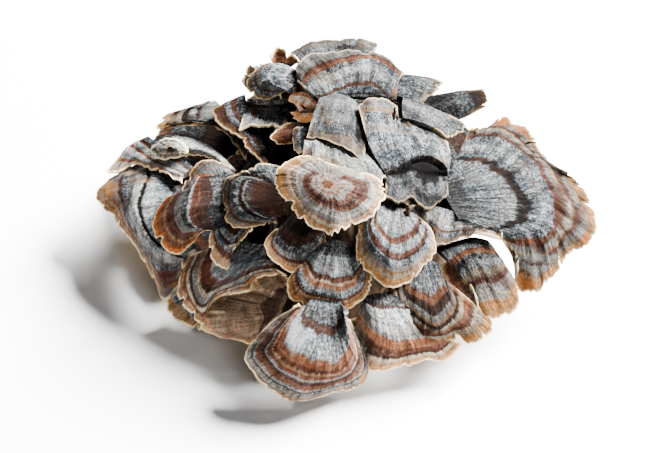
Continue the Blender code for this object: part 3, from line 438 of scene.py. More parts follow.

# Marks that the rings alone don't give, by cap: mostly stains of the flesh, and some dark marks that are
# painted shade
STAINS_AND_PAINTED_SHADE: dict[str, tuple[PaintedMark, ...]] = {
    "cap_centre_disc": (
        PaintedMark(346, 171, 19, 6, ASH, 0.8), PaintedMark(322, 168, 16, 4, ASH, 0.7),
        PaintedMark(330, 183, 4, 3, CHESTNUT, 0.8), PaintedMark(280, 175, 7, 1.3, SOOT, 1.0),
        PaintedMark(367, 187, 4, 8, UMBER, 0.7), PaintedMark(362, 174, 2.5, 2.5, CREAM, 0.9),
        PaintedMark(374, 193, 4, 9, SAND, 0.5), PaintedMark(304, 188, 4, 10, UMBER, 0.5)),
    "cap_pale_sheet": (
        PaintedMark(304, 152, 9, 4, CHESTNUT, 0.7), PaintedMark(380, 172, 14, 4, SLATE, 0.5),
        PaintedMark(345, 160, 18, 3, SAND, 0.5), PaintedMark(360, 150, 8, 6, SLATE, 0.5)),
    # The SOOT mark at the right edge of the flow is painted shade, for the dark hollow beside it
    "cap_pale_flow": (
        PaintedMark(325, 115, 4, 12, TAN, 0.5), PaintedMark(340, 135, 5, 12, SLATE, 0.4),
        PaintedMark(359, 124, 4, 20, SOOT, 0.85), PaintedMark(318, 138, 3, 10, UMBER, 0.6)),
    # The SMOKE marks at column 410 and the SOOT mark at column 430 are painted shade, under the rim of the
    # hood and in the mouth of the tube
    "cap_tube_hood": (
        PaintedMark(366, 103, 8, 3, CHESTNUT, 0.8), PaintedMark(383, 118, 11, 3.5, UMBER, 0.6),
        PaintedMark(368, 135, 7, 14, SMOKE, 0.6), PaintedMark(436, 160, 14, 4, SAND, 0.6),
        PaintedMark(410, 166, 14, 5, SMOKE, 0.5)),
    "cap_fuzzy_lobe": (
        PaintedMark(430, 172, 17, 12, SOOT, 1.0), PaintedMark(410, 166, 18, 7, SMOKE, 0.7),
        PaintedMark(402, 176, 9, 4, SLATE, 0.4), PaintedMark(436, 200, 12, 6, SMOKE, 0.7)),
    "cap_right_fan": (
        PaintedMark(520, 210, 5, 17, SOOT, 0.9), PaintedMark(510, 224, 9, 5, SOOT, 0.75),
        PaintedMark(505, 170, 14, 3.5, UMBER, 0.6), PaintedMark(480, 159, 14, 2.5, CHESTNUT, 0.5),
        PaintedMark(478, 212, 24, 9, SMOKE, 0.6), PaintedMark(456, 195, 9, 18, SMOKE, 0.6),
        PaintedMark(495, 216, 14, 8, SMOKE, 0.5), PaintedMark(474, 178, 9, 6, FOG, 0.5),
        PaintedMark(560, 205, 7, 32, CHESTNUT, 0.7), PaintedMark(580, 208, 5, 18, CHESTNUT, 0.6),
        PaintedMark(530, 165, 22, 4, CHESTNUT, 0.3), PaintedMark(545, 250, 16, 4, CHESTNUT, 0.7),
        PaintedMark(528, 240, 16, 4, RUST, 0.6), PaintedMark(536, 258, 20, 4, MIST, 0.7),
        PaintedMark(540, 264, 20, 1.4, UMBER, 0.8), PaintedMark(500, 121, 9, 5, AMBER, 0.7),
        PaintedMark(524, 130, 8, 5, AMBER, 0.6), PaintedMark(586, 239, 4, 8, AMBER, 0.7),
        PaintedMark(525, 285, 14, 5, AMBER, 0.6), PaintedMark(556, 275, 8, 6, OCHRE, 0.6),
        PaintedMark(562, 173, 6, 5, SOOT, 0.8), PaintedMark(570, 184, 7, 3, TAN, 0.6), PaintedMark(470, 134, 8, 4, UMBER, 0.7),
        PaintedMark(458, 145, 4, 9, UMBER, 0.7)),
    "cap_front_ridge": (
        PaintedMark(437, 231, 9, 4, RUST, 0.6), PaintedMark(465, 230, 9, 3, RUST, 0.5),
        PaintedMark(420, 208, 8, 5, SMOKE, 0.4)),
    "cap_right_split": (
        PaintedMark(500, 262, 13, 17, UMBER, 0.55), PaintedMark(508, 283, 6, 8, CHESTNUT, 0.6),
        PaintedMark(505, 292, 8, 1.5, CREAM, 0.8)),
    "cap_right_front": (
        PaintedMark(428, 331, 14, 3, UMBER, 0.7), PaintedMark(450, 352, 10, 6, TAN, 0.6),
        PaintedMark(408, 312, 10, 3, UMBER, 0.5)),
    "cap_front_right": (PaintedMark(430, 350, 12, 2.5, UMBER, 0.7), PaintedMark(360, 335, 6, 18, SAND, 0.5)),
    "cap_front": (
        PaintedMark(296, 338, 11, 17, MIST, 0.55), PaintedMark(262, 334, 11, 6, CHESTNUT, 0.5),
        PaintedMark(299, 376, 1.2, 9, SAND, 0.35), PaintedMark(364, 381, 5, 8, OCHRE, 0.8),
        PaintedMark(294, 402, 6, 3, SAND, 0.7)),
    "cap_left_square": (PaintedMark(262, 198, 19, 17, UMBER, 0.75),),
    "cap_left_hood": (PaintedMark(206, 176, 11, 2.2, AMBER, 0.8), PaintedMark(212, 170, 14, 5, SILVER, 0.5)),
    "cap_spiral": (PaintedMark(172, 150, 6, 2.5, SOOT, 0.9),),
    "cap_left_crest": (PaintedMark(175, 167, 14, 8, SILVER, 0.5),),
    "cap_left_big": (
        PaintedMark(115, 177, 7, 6, SLATE, 0.7), PaintedMark(128, 172, 20, 3, SAND, 0.7),
        PaintedMark(110, 188, 7, 10, OCHRE, 0.5), PaintedMark(140, 180, 12, 4, TAN, 0.5),
        PaintedMark(167, 276, 12, 8, CHESTNUT, 0.7), PaintedMark(168, 292, 9, 6, SLATE, 0.6)),
    "cap_left_lower": (
        PaintedMark(203, 265, 8, 24, CHESTNUT, 0.6), PaintedMark(233, 277, 17, 15, SILVER, 0.25),
        PaintedMark(243, 262, 20, 9, SLATE, 0.5), PaintedMark(262, 281, 17, 4, AMBER, 0.65)),
    "cap_lower_pores": (
        PaintedMark(243, 308, 4, 4, SOOT, 0.6), PaintedMark(222, 302, 16, 7, UMBER, 0.35),
        PaintedMark(208, 306, 7, 3, SAND, 0.4), PaintedMark(215, 312, 10, 2, CREAM, 0.6)),
    "cap_arch": (
        PaintedMark(170, 118, 10, 5, SAND, 0.5), PaintedMark(189, 118, 7, 6, UMBER, 0.8),
        PaintedMark(206, 114, 9, 9, MIST, 0.6), PaintedMark(235, 147, 10, 13, SMOKE, 0.6)),
    "cap_scoop": (PaintedMark(254, 112, 4, 10, CHESTNUT, 0.8), PaintedMark(270, 112, 8, 10, SILVER, 0.5)),
    "cap_top_fan": (PaintedMark(381, 90, 9, 12, SMOKE, 0.5), PaintedMark(325, 78, 14, 6, SAND, 0.4)),
    "cap_top_behind": (PaintedMark(346, 47, 8, 3.5, SOOT, 0.8), PaintedMark(363, 46, 4, 3, TAN, 0.7)),
    "cap_back_wedge": (PaintedMark(425, 100, 2.5, 9, CREAM, 0.8),),
    "cap_back_roll": (PaintedMark(484, 98, 5, 9, CHESTNUT, 0.8),),
}


class Wire:
    """An output of a shader node that Python's own signs do maths on."""

    def __init__(self, graph: Graph, socket: bpy.types.NodeSocket) -> None:
        """Hold an output of a node in a graph."""
        self.graph = graph
        self.socket = socket

    def maths(self, operation: str, first: Value, second: Value) -> Wire:
        """What a Math node makes of two values."""
        return self.graph.node("ShaderNodeMath", {"operation": operation}, {0: first, 1: second})

    def __add__(self, other: Value) -> Wire:
        """This value and another."""
        return self.maths("ADD", self, other)

    def __radd__(self, other: Value) -> Wire:
        """Another value and this one."""
        return self.maths("ADD", other, self)

    def __sub__(self, other: Value) -> Wire:
        """This value less another."""
        return self.maths("SUBTRACT", self, other)

    def __rsub__(self, other: Value) -> Wire:
        """Another value less this one."""
        return self.maths("SUBTRACT", other, self)

    def __mul__(self, other: Value) -> Wire:
        """This value times another."""
        return self.maths("MULTIPLY", self, other)

    def __rmul__(self, other: Value) -> Wire:
        """Another value times this one."""
        return self.maths("MULTIPLY", other, self)

    def between(self, low: float, high: float) -> Wire:
        """Read this value as a share of the way from low to high, kept between 0 and 1.

        Args:
            low: the value that becomes 0.
            high: the value that becomes 1.

        Returns:
            The share.
        """
        return self.graph.node(
            "ShaderNodeMapRange", {"clamp": True}, {"Value": self, "From Min": low, "From Max": high}
        )


Value = Wire | float | Colour


class Graph:
    """The node tree of one material."""

    def __init__(self, name: str) -> None:
        """Start a material.

        Args:
            name: its name.
        """
        self.material = bpy.data.materials.new(name)
        self.material.use_nodes = True
        self.tree = self.material.node_tree
        self.shader = self.tree.nodes["Principled BSDF"]

    def node(
        self, kind: str, settings: dict[str, object], values: dict[int | str, Value], output: int | str = 0,
    ) -> Wire:
        """Add a node.

        Args:
            kind: the node's type.
            settings: its properties, set first.
            values: what goes into its inputs, by index or name: a wire or a constant.
            output: which of its outputs is wanted.

        Returns:
            That output.
        """
        made = self.tree.nodes.new(kind)
        for key, value in settings.items():
            setattr(made, key, value)
        for key, value in values.items():
            self.join(value, made.inputs[key])
        return Wire(self, made.outputs[output])

    def join(self, value: Value, socket: bpy.types.NodeSocket) -> None:
        """Lead a wire into a socket, or set the socket to a constant.

        Args:
            value: the wire or the constant.
            socket: the socket.
        """
        if isinstance(value, Wire):
            self.tree.links.new(value.socket, socket)
        else:
            socket.default_value = value

    def own(self, name: str, output: str = "Fac") -> Wire:
        """A value that the piece's mesh carries on its points."""
        return self.node("ShaderNodeAttribute", {"attribute_name": name}, {}, output)

    def place(self) -> Wire:
        """The point on the piece, in object coordinates."""
        return self.node("ShaderNodeTexCoord", {}, {}, "Object")

    def stretched(self, vector: Wire, scale: Cells) -> Wire:
        """A vector with each of its parts scaled."""
        return self.node("ShaderNodeVectorMath", {"operation": "MULTIPLY"}, {0: vector, 1: scale})

    def part(self, vector: Wire, index: int) -> Wire:
        """One part of a vector."""
        return self.node("ShaderNodeSeparateXYZ", {}, {0: vector}, index)

    def joined(self, x: Value, y: Value, z: Value) -> Wire:
        """A vector out of its three parts."""
        return self.node("ShaderNodeCombineXYZ", {}, {0: x, 1: y, 2: z})

    def noise(self, vector: Wire, scale: float, detail: float = 2.0, rough: float = 0.5) -> Wire:
        """Smooth noise between 0 and 1."""
        values = {"Vector": vector, "Scale": scale, "Detail": detail, "Roughness": rough}
        return self.node("ShaderNodeTexNoise", {"noise_dimensions": "3D"}, values)

    def cells(self, vector: Wire, scale: float) -> Wire:
        """The distance to the middle of the nearest of many scattered cells."""
        return self.node("ShaderNodeTexVoronoi", {"feature": "F1"}, {"Vector": vector, "Scale": scale})

    def blend(self, first: Value, second: Value, share: Value, kind: str = "MIX") -> Wire:
        """A colour between two colours, or one laid over the other.

        Args:
            first: the colour at a share of 0.
            second: the colour at a share of 1.
            share: how much of the second is taken.
            kind: how the two are laid over each other.

        Returns:
            The colour.
        """
        settings = {"data_type": "RGBA", "blend_type": kind}
        return self.node("ShaderNodeMix", settings, {0: share, 6: first, 7: second}, 2)

    def ramp(self, place: Wire, stops: list[tuple[float, Colour]]) -> Wire:
        """Read a colour off a line of stops.

        Args:
            place: where on the line, from 0 to 1.
            stops: places on the line, with their colours.

        Returns:
            The colour.
        """
        made = self.tree.nodes.new("ShaderNodeValToRGB")
        ends = made.color_ramp.elements
        ends[0].position, ends[0].color = stops[0]
        ends[1].position, ends[1].color = stops[-1]
        for position, colour in stops[1:-1]:
            ends.new(position).color = colour
        self.join(place, made.inputs[0])
        return Wire(self, made.outputs[0])

    def finish(self, colour: Value, roughness: Value, height: Wire, depth: float) -> bpy.types.Material:
        """Lead what varies into the shader.

        Args:
            colour: the base colour.
            roughness: how rough the flesh is.
            height: the fine relief, between 0 and 1.
            depth: how deep that relief is, in metres.

        Returns:
            The material.
        """
        bump = self.node("ShaderNodeBump", {}, {"Height": height, "Distance": depth, "Strength": 1.0})
        self.join(colour, self.shader.inputs["Base Color"])
        self.join(roughness, self.shader.inputs["Roughness"])
        self.join(bump, self.shader.inputs["Normal"])
        self.shader.inputs["Specular IOR Level"].default_value = SHEEN
        return self.material


def stops_of(bands: Bands, blur: float, reading: Callable[[Dye], Colour]) -> list[tuple[float, Colour]]:
    """The stops of a ramp whose bands meet over a short blur.

    Args:
        bands: where each tone begins.
        blur: half the share of growth over which two tones run into each other.
        reading: what is read from a tone, as a colour.

    Returns:
        Positions and colours.
    """
    stops = []
    for (_, before), (start, after) in zip(bands, bands[1:]):
        stops.append((start - blur, reading(before.value)))
        stops.append((start + blur, reading(after.value)))
    return [(0.0, reading(bands[0][1].value)), *stops, (1.0, reading(bands[-1][1].value))]


@dataclass(frozen=True)
class Flesh:
    """The upper face of a cap: growth rings, streaks along the growth, fur, a pale lip brightened as a
    painted highlight, and painted shade in hollows.

    Attributes:
        bands: the growth rings.
        shade: how much of the light the flesh gives back, as a share of the full colours.
        frost: how bright the tips of the fur are, against the flesh.
        margin: the tone that the last of the flesh takes on before the lip.
        margin_share: how strongly it does.
        lip_width: how wide the pale lip is, in millimetres.
        blur: half the share of growth over which two rings run into each other.
        fray: how far the streaks carry one ring into the next, as a share of growth.
        streaks, hairs, clouds: how many of these marks lie in a millimetre across and along the growth.
        lines: how many fine lines lie between the root and the rim.
        grit, patches: how many of these marks lie in a metre.
        warm: the tint of the warmer patches.
        gap: the colour between the hairs.
        deep: the colour deep in a hollow.
        relief: how deep the fine relief is, in metres.
    """

    bands: Bands
    shade: float
    frost: float
    margin: Tone
    margin_share: float
    lip_width: float = 0.34
    blur: float = 0.011
    fray: float = 0.075
    streaks: Cells = (1.25, 0.2, 1.0)
    hairs: Cells = (3.4, 0.95, 1.0)
    clouds: Cells = (0.33, 0.14, 1.0)
    lines: float = 34.0
    grit: float = 1900.0
    patches: float = 330.0
    warm: Colour = (1.15, 0.62, 0.42, 1.0)
    gap: Colour = (0.03, 0.022, 0.02)
    # deep: the painted shade deep in a hollow.
    deep: Colour = (0.05, 0.032, 0.022)
    relief: float = 0.0004

    def material(self, name: str) -> bpy.types.Material:
        """Build the material.

        Args:
            name: its name.

        Returns:
            The material.
        """
        graph = Graph(name)
        grain = graph.own("grain", "Vector")
        place = graph.place()
        grown = graph.own("zone")
        streak = graph.noise(graph.stretched(grain, self.streaks), 1.0, 4.0, 0.65)
        hair = graph.noise(graph.stretched(grain, self.hairs), 1.0, 3.0, 0.7)
        fine = graph.noise(place, self.grit, 3.0, 0.65)
        patch = graph.noise(place, self.patches, 2.0, 0.55)
        cloud = graph.noise(graph.stretched(grain, self.clouds), 1.0, 3.0, 0.6)
        open_face = grown.between(0.04, 0.3)
        zone = grown + (streak - 0.5) * self.fray + (hair - 0.5) * (0.5 * self.fray)
        colour = graph.ramp(zone, stops_of(self.bands, self.blur, lambda dye: dye.linear(self.shade)))
        fur = graph.ramp(zone, stops_of(self.bands, self.blur, lambda dye: (dye.fur, dye.fur, dye.fur, 1.0)))
        along = graph.joined(zone * self.lines, graph.part(grain, 0) * 0.05, 7.0)
        lines = graph.noise(along, 1.0, 2.0, 0.7)
        colour = graph.blend(colour, lines.between(0.3, 0.7) * 1.1 + 0.45, 1.0, "MULTIPLY")
        colour = graph.blend(colour, streak.between(0.35, 0.65) * 0.7 + 0.65, open_face, "MULTIPLY")
        colour = graph.blend(colour, cloud.between(0.34, 0.66) * 0.75 + 0.62, 1.0, "MULTIPLY")
        grit = hair * 0.55 + fine * 0.45
        tips = (grit + (cloud - 0.5) * 0.35).between(0.5, 0.66) * fur
        gaps = (hair * 0.5 + streak * 0.5).between(0.48, 0.36) * open_face
        pits = fine.between(0.46, 0.3)
        warm = patch.between(0.52, 0.72)
        colour = graph.blend(colour, self.warm, warm * 0.45, "MULTIPLY")
        frosted = self.tint(0.93 * self.frost, 0.98 * self.frost, self.frost)
        colour = graph.blend(colour, frosted, tips * 0.7)
        colour = graph.blend(colour, self.tint(*self.gap), gaps * 0.6)
        colour = graph.blend(colour, self.tint(*self.gap), pits * 0.5)
        edge = graph.own("lip") + (streak - 0.5) * 1.3 + (hair - 0.5) * 0.8
        margin = self.margin.value.linear(self.shade)
        colour = graph.blend(colour, margin, edge.between(1.5, 0.5) * self.margin_share)
        # The lip is the rim's own pale colour, brightened well past the flesh as a painted highlight where
        # light catches the thin rim
        pale = CREAM.value.linear(min(PALEST_LIP, 2.4 * self.shade))
        colour = graph.blend(colour, pale, edge.between(self.lip_width + 0.14, self.lip_width - 0.1) * 0.9)
        # Local marks: stains of the flesh, and painted shade where a dark mark stands for a hole or a gap
        mark = graph.blend(graph.own("painted_mark", "Color"), (0.0, 0.0, 0.0, 1.0), 1.0 - self.shade)
        colour = graph.blend(colour, mark, graph.own("painted_mark_cover") * (1.0 - 0.3 * tips))
        # Painted shade: the flesh turns dark where it lies closed in among the other caps
        hollow = graph.own("hollow").between(0.4, 0.95)
        colour = graph.blend(colour, self.tint(*self.deep), hollow * 0.85)
        height = grit * 0.75 + streak * 0.25
        rough = 0.98 - 0.2 * (1.0 - fur)
        return graph.finish(colour, rough, height, self.relief)

    def tint(self, red: float, green: float, blue: float) -> Colour:
        """A linear colour at the shade of this flesh."""
        return self.shade * red, self.shade * green, self.shade * blue, 1.0


@dataclass(frozen=True)
class PoreFace:
    """The underside of a cap: fine round pores in pale brown flesh, paler towards the rim.

    Attributes:
        shade: how much of the light the flesh gives back, as a share of the full colours.
        pore, flesh: the tones of the darker and the paler parts.
        deep: the colour in the pores, and the painted shade deep in a hollow.
        pores, clouds, grit: how many of these marks lie in a metre.
        relief: how deep the pores are, in metres.
    """

    shade: float
    pore: Tone = PORE
    flesh: Tone = SAND
    deep: Colour = (0.03, 0.02, 0.014, 1.0)
    pores: float = 2300.0
    clouds: float = 260.0
    grit: float = 3000.0
    relief: float = 0.0002

    def material(self, name: str) -> bpy.types.Material:
        """Build the material.

        Args:
            name: its name.

        Returns:
            The material.
        """
        graph = Graph(name)
        place = graph.place()
        wall = graph.cells(place, self.pores)
        cloud = graph.noise(place, self.clouds, 4.0, 0.6)
        fine = graph.noise(place, self.grit, 2.0)
        open_pore = wall.between(0.62, 0.2)
        flesh, pore = self.flesh.value.linear(self.shade), self.pore.value.linear(self.shade)
        colour = graph.blend(flesh, pore, cloud.between(0.3, 0.6))
        colour = graph.blend(colour, self.deep, open_pore * 0.6)
        rim = (graph.own("lip") + (cloud - 0.5) * 1.5).between(1.3, 0.3)
        colour = graph.blend(colour, CREAM.value.linear(self.shade), rim * 0.8)
        # Painted shade: the pore face turns dark where it lies closed in among the other caps
        hollow = graph.own("hollow").between(0.4, 0.95)
        colour = graph.blend(colour, self.deep, hollow * 0.8)
        height = wall * 0.6 + fine * 0.15 + cloud * 0.25
        return graph.finish(colour, 0.9 - 0.1 * cloud, height, self.relief)


@dataclass(frozen=True)
class Bark:
    """The corky stump: dark, cracked and crumbly.

    Attributes:
        deep, high, crumb: the colours of its cracks, its high parts and its crumbs.
        cracks, clouds, grit: how many of these marks lie in a metre.
        relief: how deep the cracks are, in metres.
    """

    deep: Colour = (0.007, 0.005, 0.0035, 1.0)
    high: Colour = (0.085, 0.055, 0.036, 1.0)
    crumb: Colour = (0.07, 0.05, 0.034, 1.0)
    cracks: float = 420.0
    clouds: float = 240.0
    grit: float = 2200.0
    relief: float = 0.0006

    def material(self, name: str) -> bpy.types.Material:
        """Build the material.

        Args:
            name: its name.

        Returns:
            The material.
        """
        graph = Graph(name)
        place = graph.place()
        cracks = graph.cells(graph.stretched(place, (1.0, 1.0, 0.35)), self.cracks)
        cloud = graph.noise(place, self.clouds, 5.0, 0.65)
        fine = graph.noise(place, self.grit, 3.0, 0.6)
        share = (cracks * 0.5 + cloud * 0.6).between(0.3, 0.85)
        colour = graph.blend(self.deep, self.high, share)
        colour = graph.blend(colour, self.crumb, fine.between(0.58, 0.75) * 0.5)
        height = cloud * 0.5 + fine * 0.3 + cracks * 0.2
        return graph.finish(colour, 0.92 - 0.12 * fine, height, self.relief)


@dataclass(frozen=True)
class WhiteBoard:
    """The plain white surface that the cluster lies on.

    Attributes:
        shade: how much of the light it gives back.
        grit: how many specks lie in a metre.
        relief: how deep its grain is, in metres.
    """

    shade: float = 0.92
    grit: float = 900.0
    relief: float = 0.00001

    def material(self, name: str) -> bpy.types.Material:
        """Build the material.

        Args:
            name: its name.

        Returns:
            The material.
        """
        graph = Graph(name)
        speck = graph.noise(graph.place(), self.grit, 2.0)
        colour = (self.shade, self.shade, self.shade * 1.005, 1.0)
        return graph.finish(colour, 0.75 + 0.1 * speck, speck, self.relief)


def seen_at(column: float, row: float, height: float) -> Points:
    """The point that lies at a place in the picture and at a height.

    Args:
        column, row: the place in the picture.
        height: the height above the table, in millimetres.

    Returns:
        The point, in millimetres.
    """
    eye = AIM + DISTANCE * TO_EYE
    across = (column - PICTURE_CENTRE[0]) / LENS_PIXELS
    above = (PICTURE_CENTRE[1] - row) / LENS_PIXELS
    ray = np.array((across, 0.0, 0.0)) + PICTURE_UP * above - TO_EYE
    return eye + ray * (height - eye[2]) / ray[2]


def in_picture(points: Points) -> tuple[Points, Points]:
    """Where the picture shows points.

    Args:
        points: the points, in millimetres.

    Returns:
        Their columns and rows.
    """
    offset = points - (AIM + DISTANCE * TO_EYE)
    depth = -(offset @ TO_EYE)
    columns = PICTURE_CENTRE[0] + LENS_PIXELS * offset[..., 0] / depth
    rows = PICTURE_CENTRE[1] - LENS_PIXELS * (offset @ PICTURE_UP) / depth
    return columns, rows


def smooth_through(knots: Points, values: Points, places: Points) -> Points:
    """Read a smooth curve through values that stand at knots.

    Args:
        knots: where the values stand.
        values: the values.
        places: where the curve is read.

    Returns:
        What it is there.
    """
    values = np.asarray(values, dtype=float)
    if len(values) == 1:
        return np.repeat(values, len(places), axis=0)
    if len(values) > 2:
        slopes = np.gradient(values, knots, axis=0)
    else:
        slopes = np.repeat((values[1:] - values[:-1]) / (knots[1] - knots[0]), 2, axis=0)
    found = []
    for place in places:
        k = min(max(int(np.searchsorted(knots, place, side="right")) - 1, 0), len(knots) - 2)
        width = knots[k + 1] - knots[k]
        f = (place - knots[k]) / width
        found.append(
            values[k] * (1 + 2 * f) * (1 - f) ** 2
            + values[k + 1] * f**2 * (3 - 2 * f)
            + slopes[k] * width * f * (1 - f) ** 2
            + slopes[k + 1] * width * f**2 * (f - 1)
        )
    return np.array(found)


def along_curve(points: Points, places: Points, closed: bool) -> Points:
    """Read a smooth curve through points.

    Args:
        points: the points.
        places: where the curve is read, as shares of its length.
        closed: whether it runs back to its first point.

    Returns:
        The points there.
    """
    points = np.asarray(points, dtype=float)
    if len(points) == 1:
        return np.repeat(points, len(places), axis=0)
    if closed:
        points = np.vstack([points[-2:], points, points[:3]])
    steps = np.linalg.norm(np.diff(points, axis=0), axis=1)
    knots = np.concatenate([[0.0], np.cumsum(steps)])
    first, last = (knots[2], knots[-3]) if closed else (knots[0], knots[-1])
    return smooth_through(knots, points, first + (last - first) * np.asarray(places))


def eased(values: Points, low: float, high: float) -> Points:
    """A smooth rise from 0 at low to 1 at high."""
    share = np.clip((values - low) / (high - low), 0.0, 1.0)
    return share * share * (3 - 2 * share)


def unit(vectors: Points) -> Points:
    """Vectors at a length of 1."""
    return vectors / np.maximum(np.linalg.norm(vectors, axis=-1, keepdims=True), 1e-9)


class Relief:
    """Smooth, repeatable noise on a plane, between -1 and 1, from a lattice of seeded heights."""

    SIZE = 128

    def __init__(self, seed: int) -> None:
        """Draw the heights from a seed."""
        self.lattice = np.random.default_rng(seed).uniform(-1, 1, (self.SIZE, self.SIZE))

    def at(self, across: Points, along: Points, wrap: int = 0) -> Points:
        """Read the noise.

        Args:
            across: places across, in cells of the lattice.
            along: places along, in cells of the lattice.
            wrap: after how many cells across the noise repeats, or 0.

        Returns:
            The noise there.
        """
        i = np.floor(across).astype(int)
        j = np.floor(along).astype(int)
        f = across - i
        g = along - j
        f = f * f * (3 - 2 * f)
        g = g * g * (3 - 2 * g)
        left, right = (i % wrap, (i + 1) % wrap) if wrap else (i, i + 1)
        left, right, j, k = left % self.SIZE, right % self.SIZE, j % self.SIZE, (j + 1) % self.SIZE
        low = self.lattice[left, j] * (1 - f) + self.lattice[right, j] * f
        high = self.lattice[left, k] * (1 - f) + self.lattice[right, k] * f
        return low * (1 - g) + high * g


class Surroundings:
    """The solids of the whole cluster, for how deep in a hollow a point lies, which the materials paint as
    shade.

    A point sends out RAYS, from CLEAR to REACH metres off. A ray nearer to its face than GRAZING doesn't
    count, and one that hits far off counts less, by up to FADE.
    """

    REACH = 0.011
    CLEAR = 0.0008
    RAYS = 40
    GRAZING = 0.12
    FADE = 0.6

    def __init__(self, nodes: dict[str, bpy.types.Object]) -> None:
        """Gather the solids.

        Args:
            nodes: the CAD nodes by name.
        """
        solid = bmesh.new()
        for node in nodes.values():
            solid.from_mesh(node.data)
        self.tree = BVHTree.FromBMesh(solid)
        solid.free()
        turns = np.arange(self.RAYS) * math.pi * (3 - math.sqrt(5))
        rises = 1 - 2 * (np.arange(self.RAYS) + 0.5) / self.RAYS
        flats = np.sqrt(1 - rises**2)
        self.rays = [Vector(ray) for ray in zip(flats * np.cos(turns), flats * np.sin(turns), rises)]

    def hollow(self, point: Points, normal: Points) -> float:
        """How much of the room over a point is closed in, from 0 to 1.

        Args:
            point: the point, in millimetres.
            normal: the way its face looks.

        Returns:
            The share that is closed in.
        """
        out = Vector(normal)
        start = Vector(point) * MM + out * self.CLEAR
        closed = total = 0.0
        for ray in self.rays:
            facing = ray.dot(out)
            if facing < self.GRAZING:
                continue
            total += facing
            distance = self.tree.ray_cast(start, ray, self.REACH)[3]
            if distance is not None:
                closed += facing * (1 - self.FADE * distance / self.REACH)
        return closed / total


@dataclass
class Sheet:
    """A cap's fine face: a grid of points, rows along the growth and columns across the fan.

    Attributes:
        top: points of the upper face.
        under: points of the lower face.
        zone: how far each point has grown, with the wandering of the rings.
        across, along: places on the sheet, in millimetres.
        normal: the way the smooth upper face looks.
        lip: how far each point lies from the free edge, in millimetres.
    """

    top: Points
    under: Points
    zone: Points
    across: Points
    along: Points
    normal: Points
    lip: Points


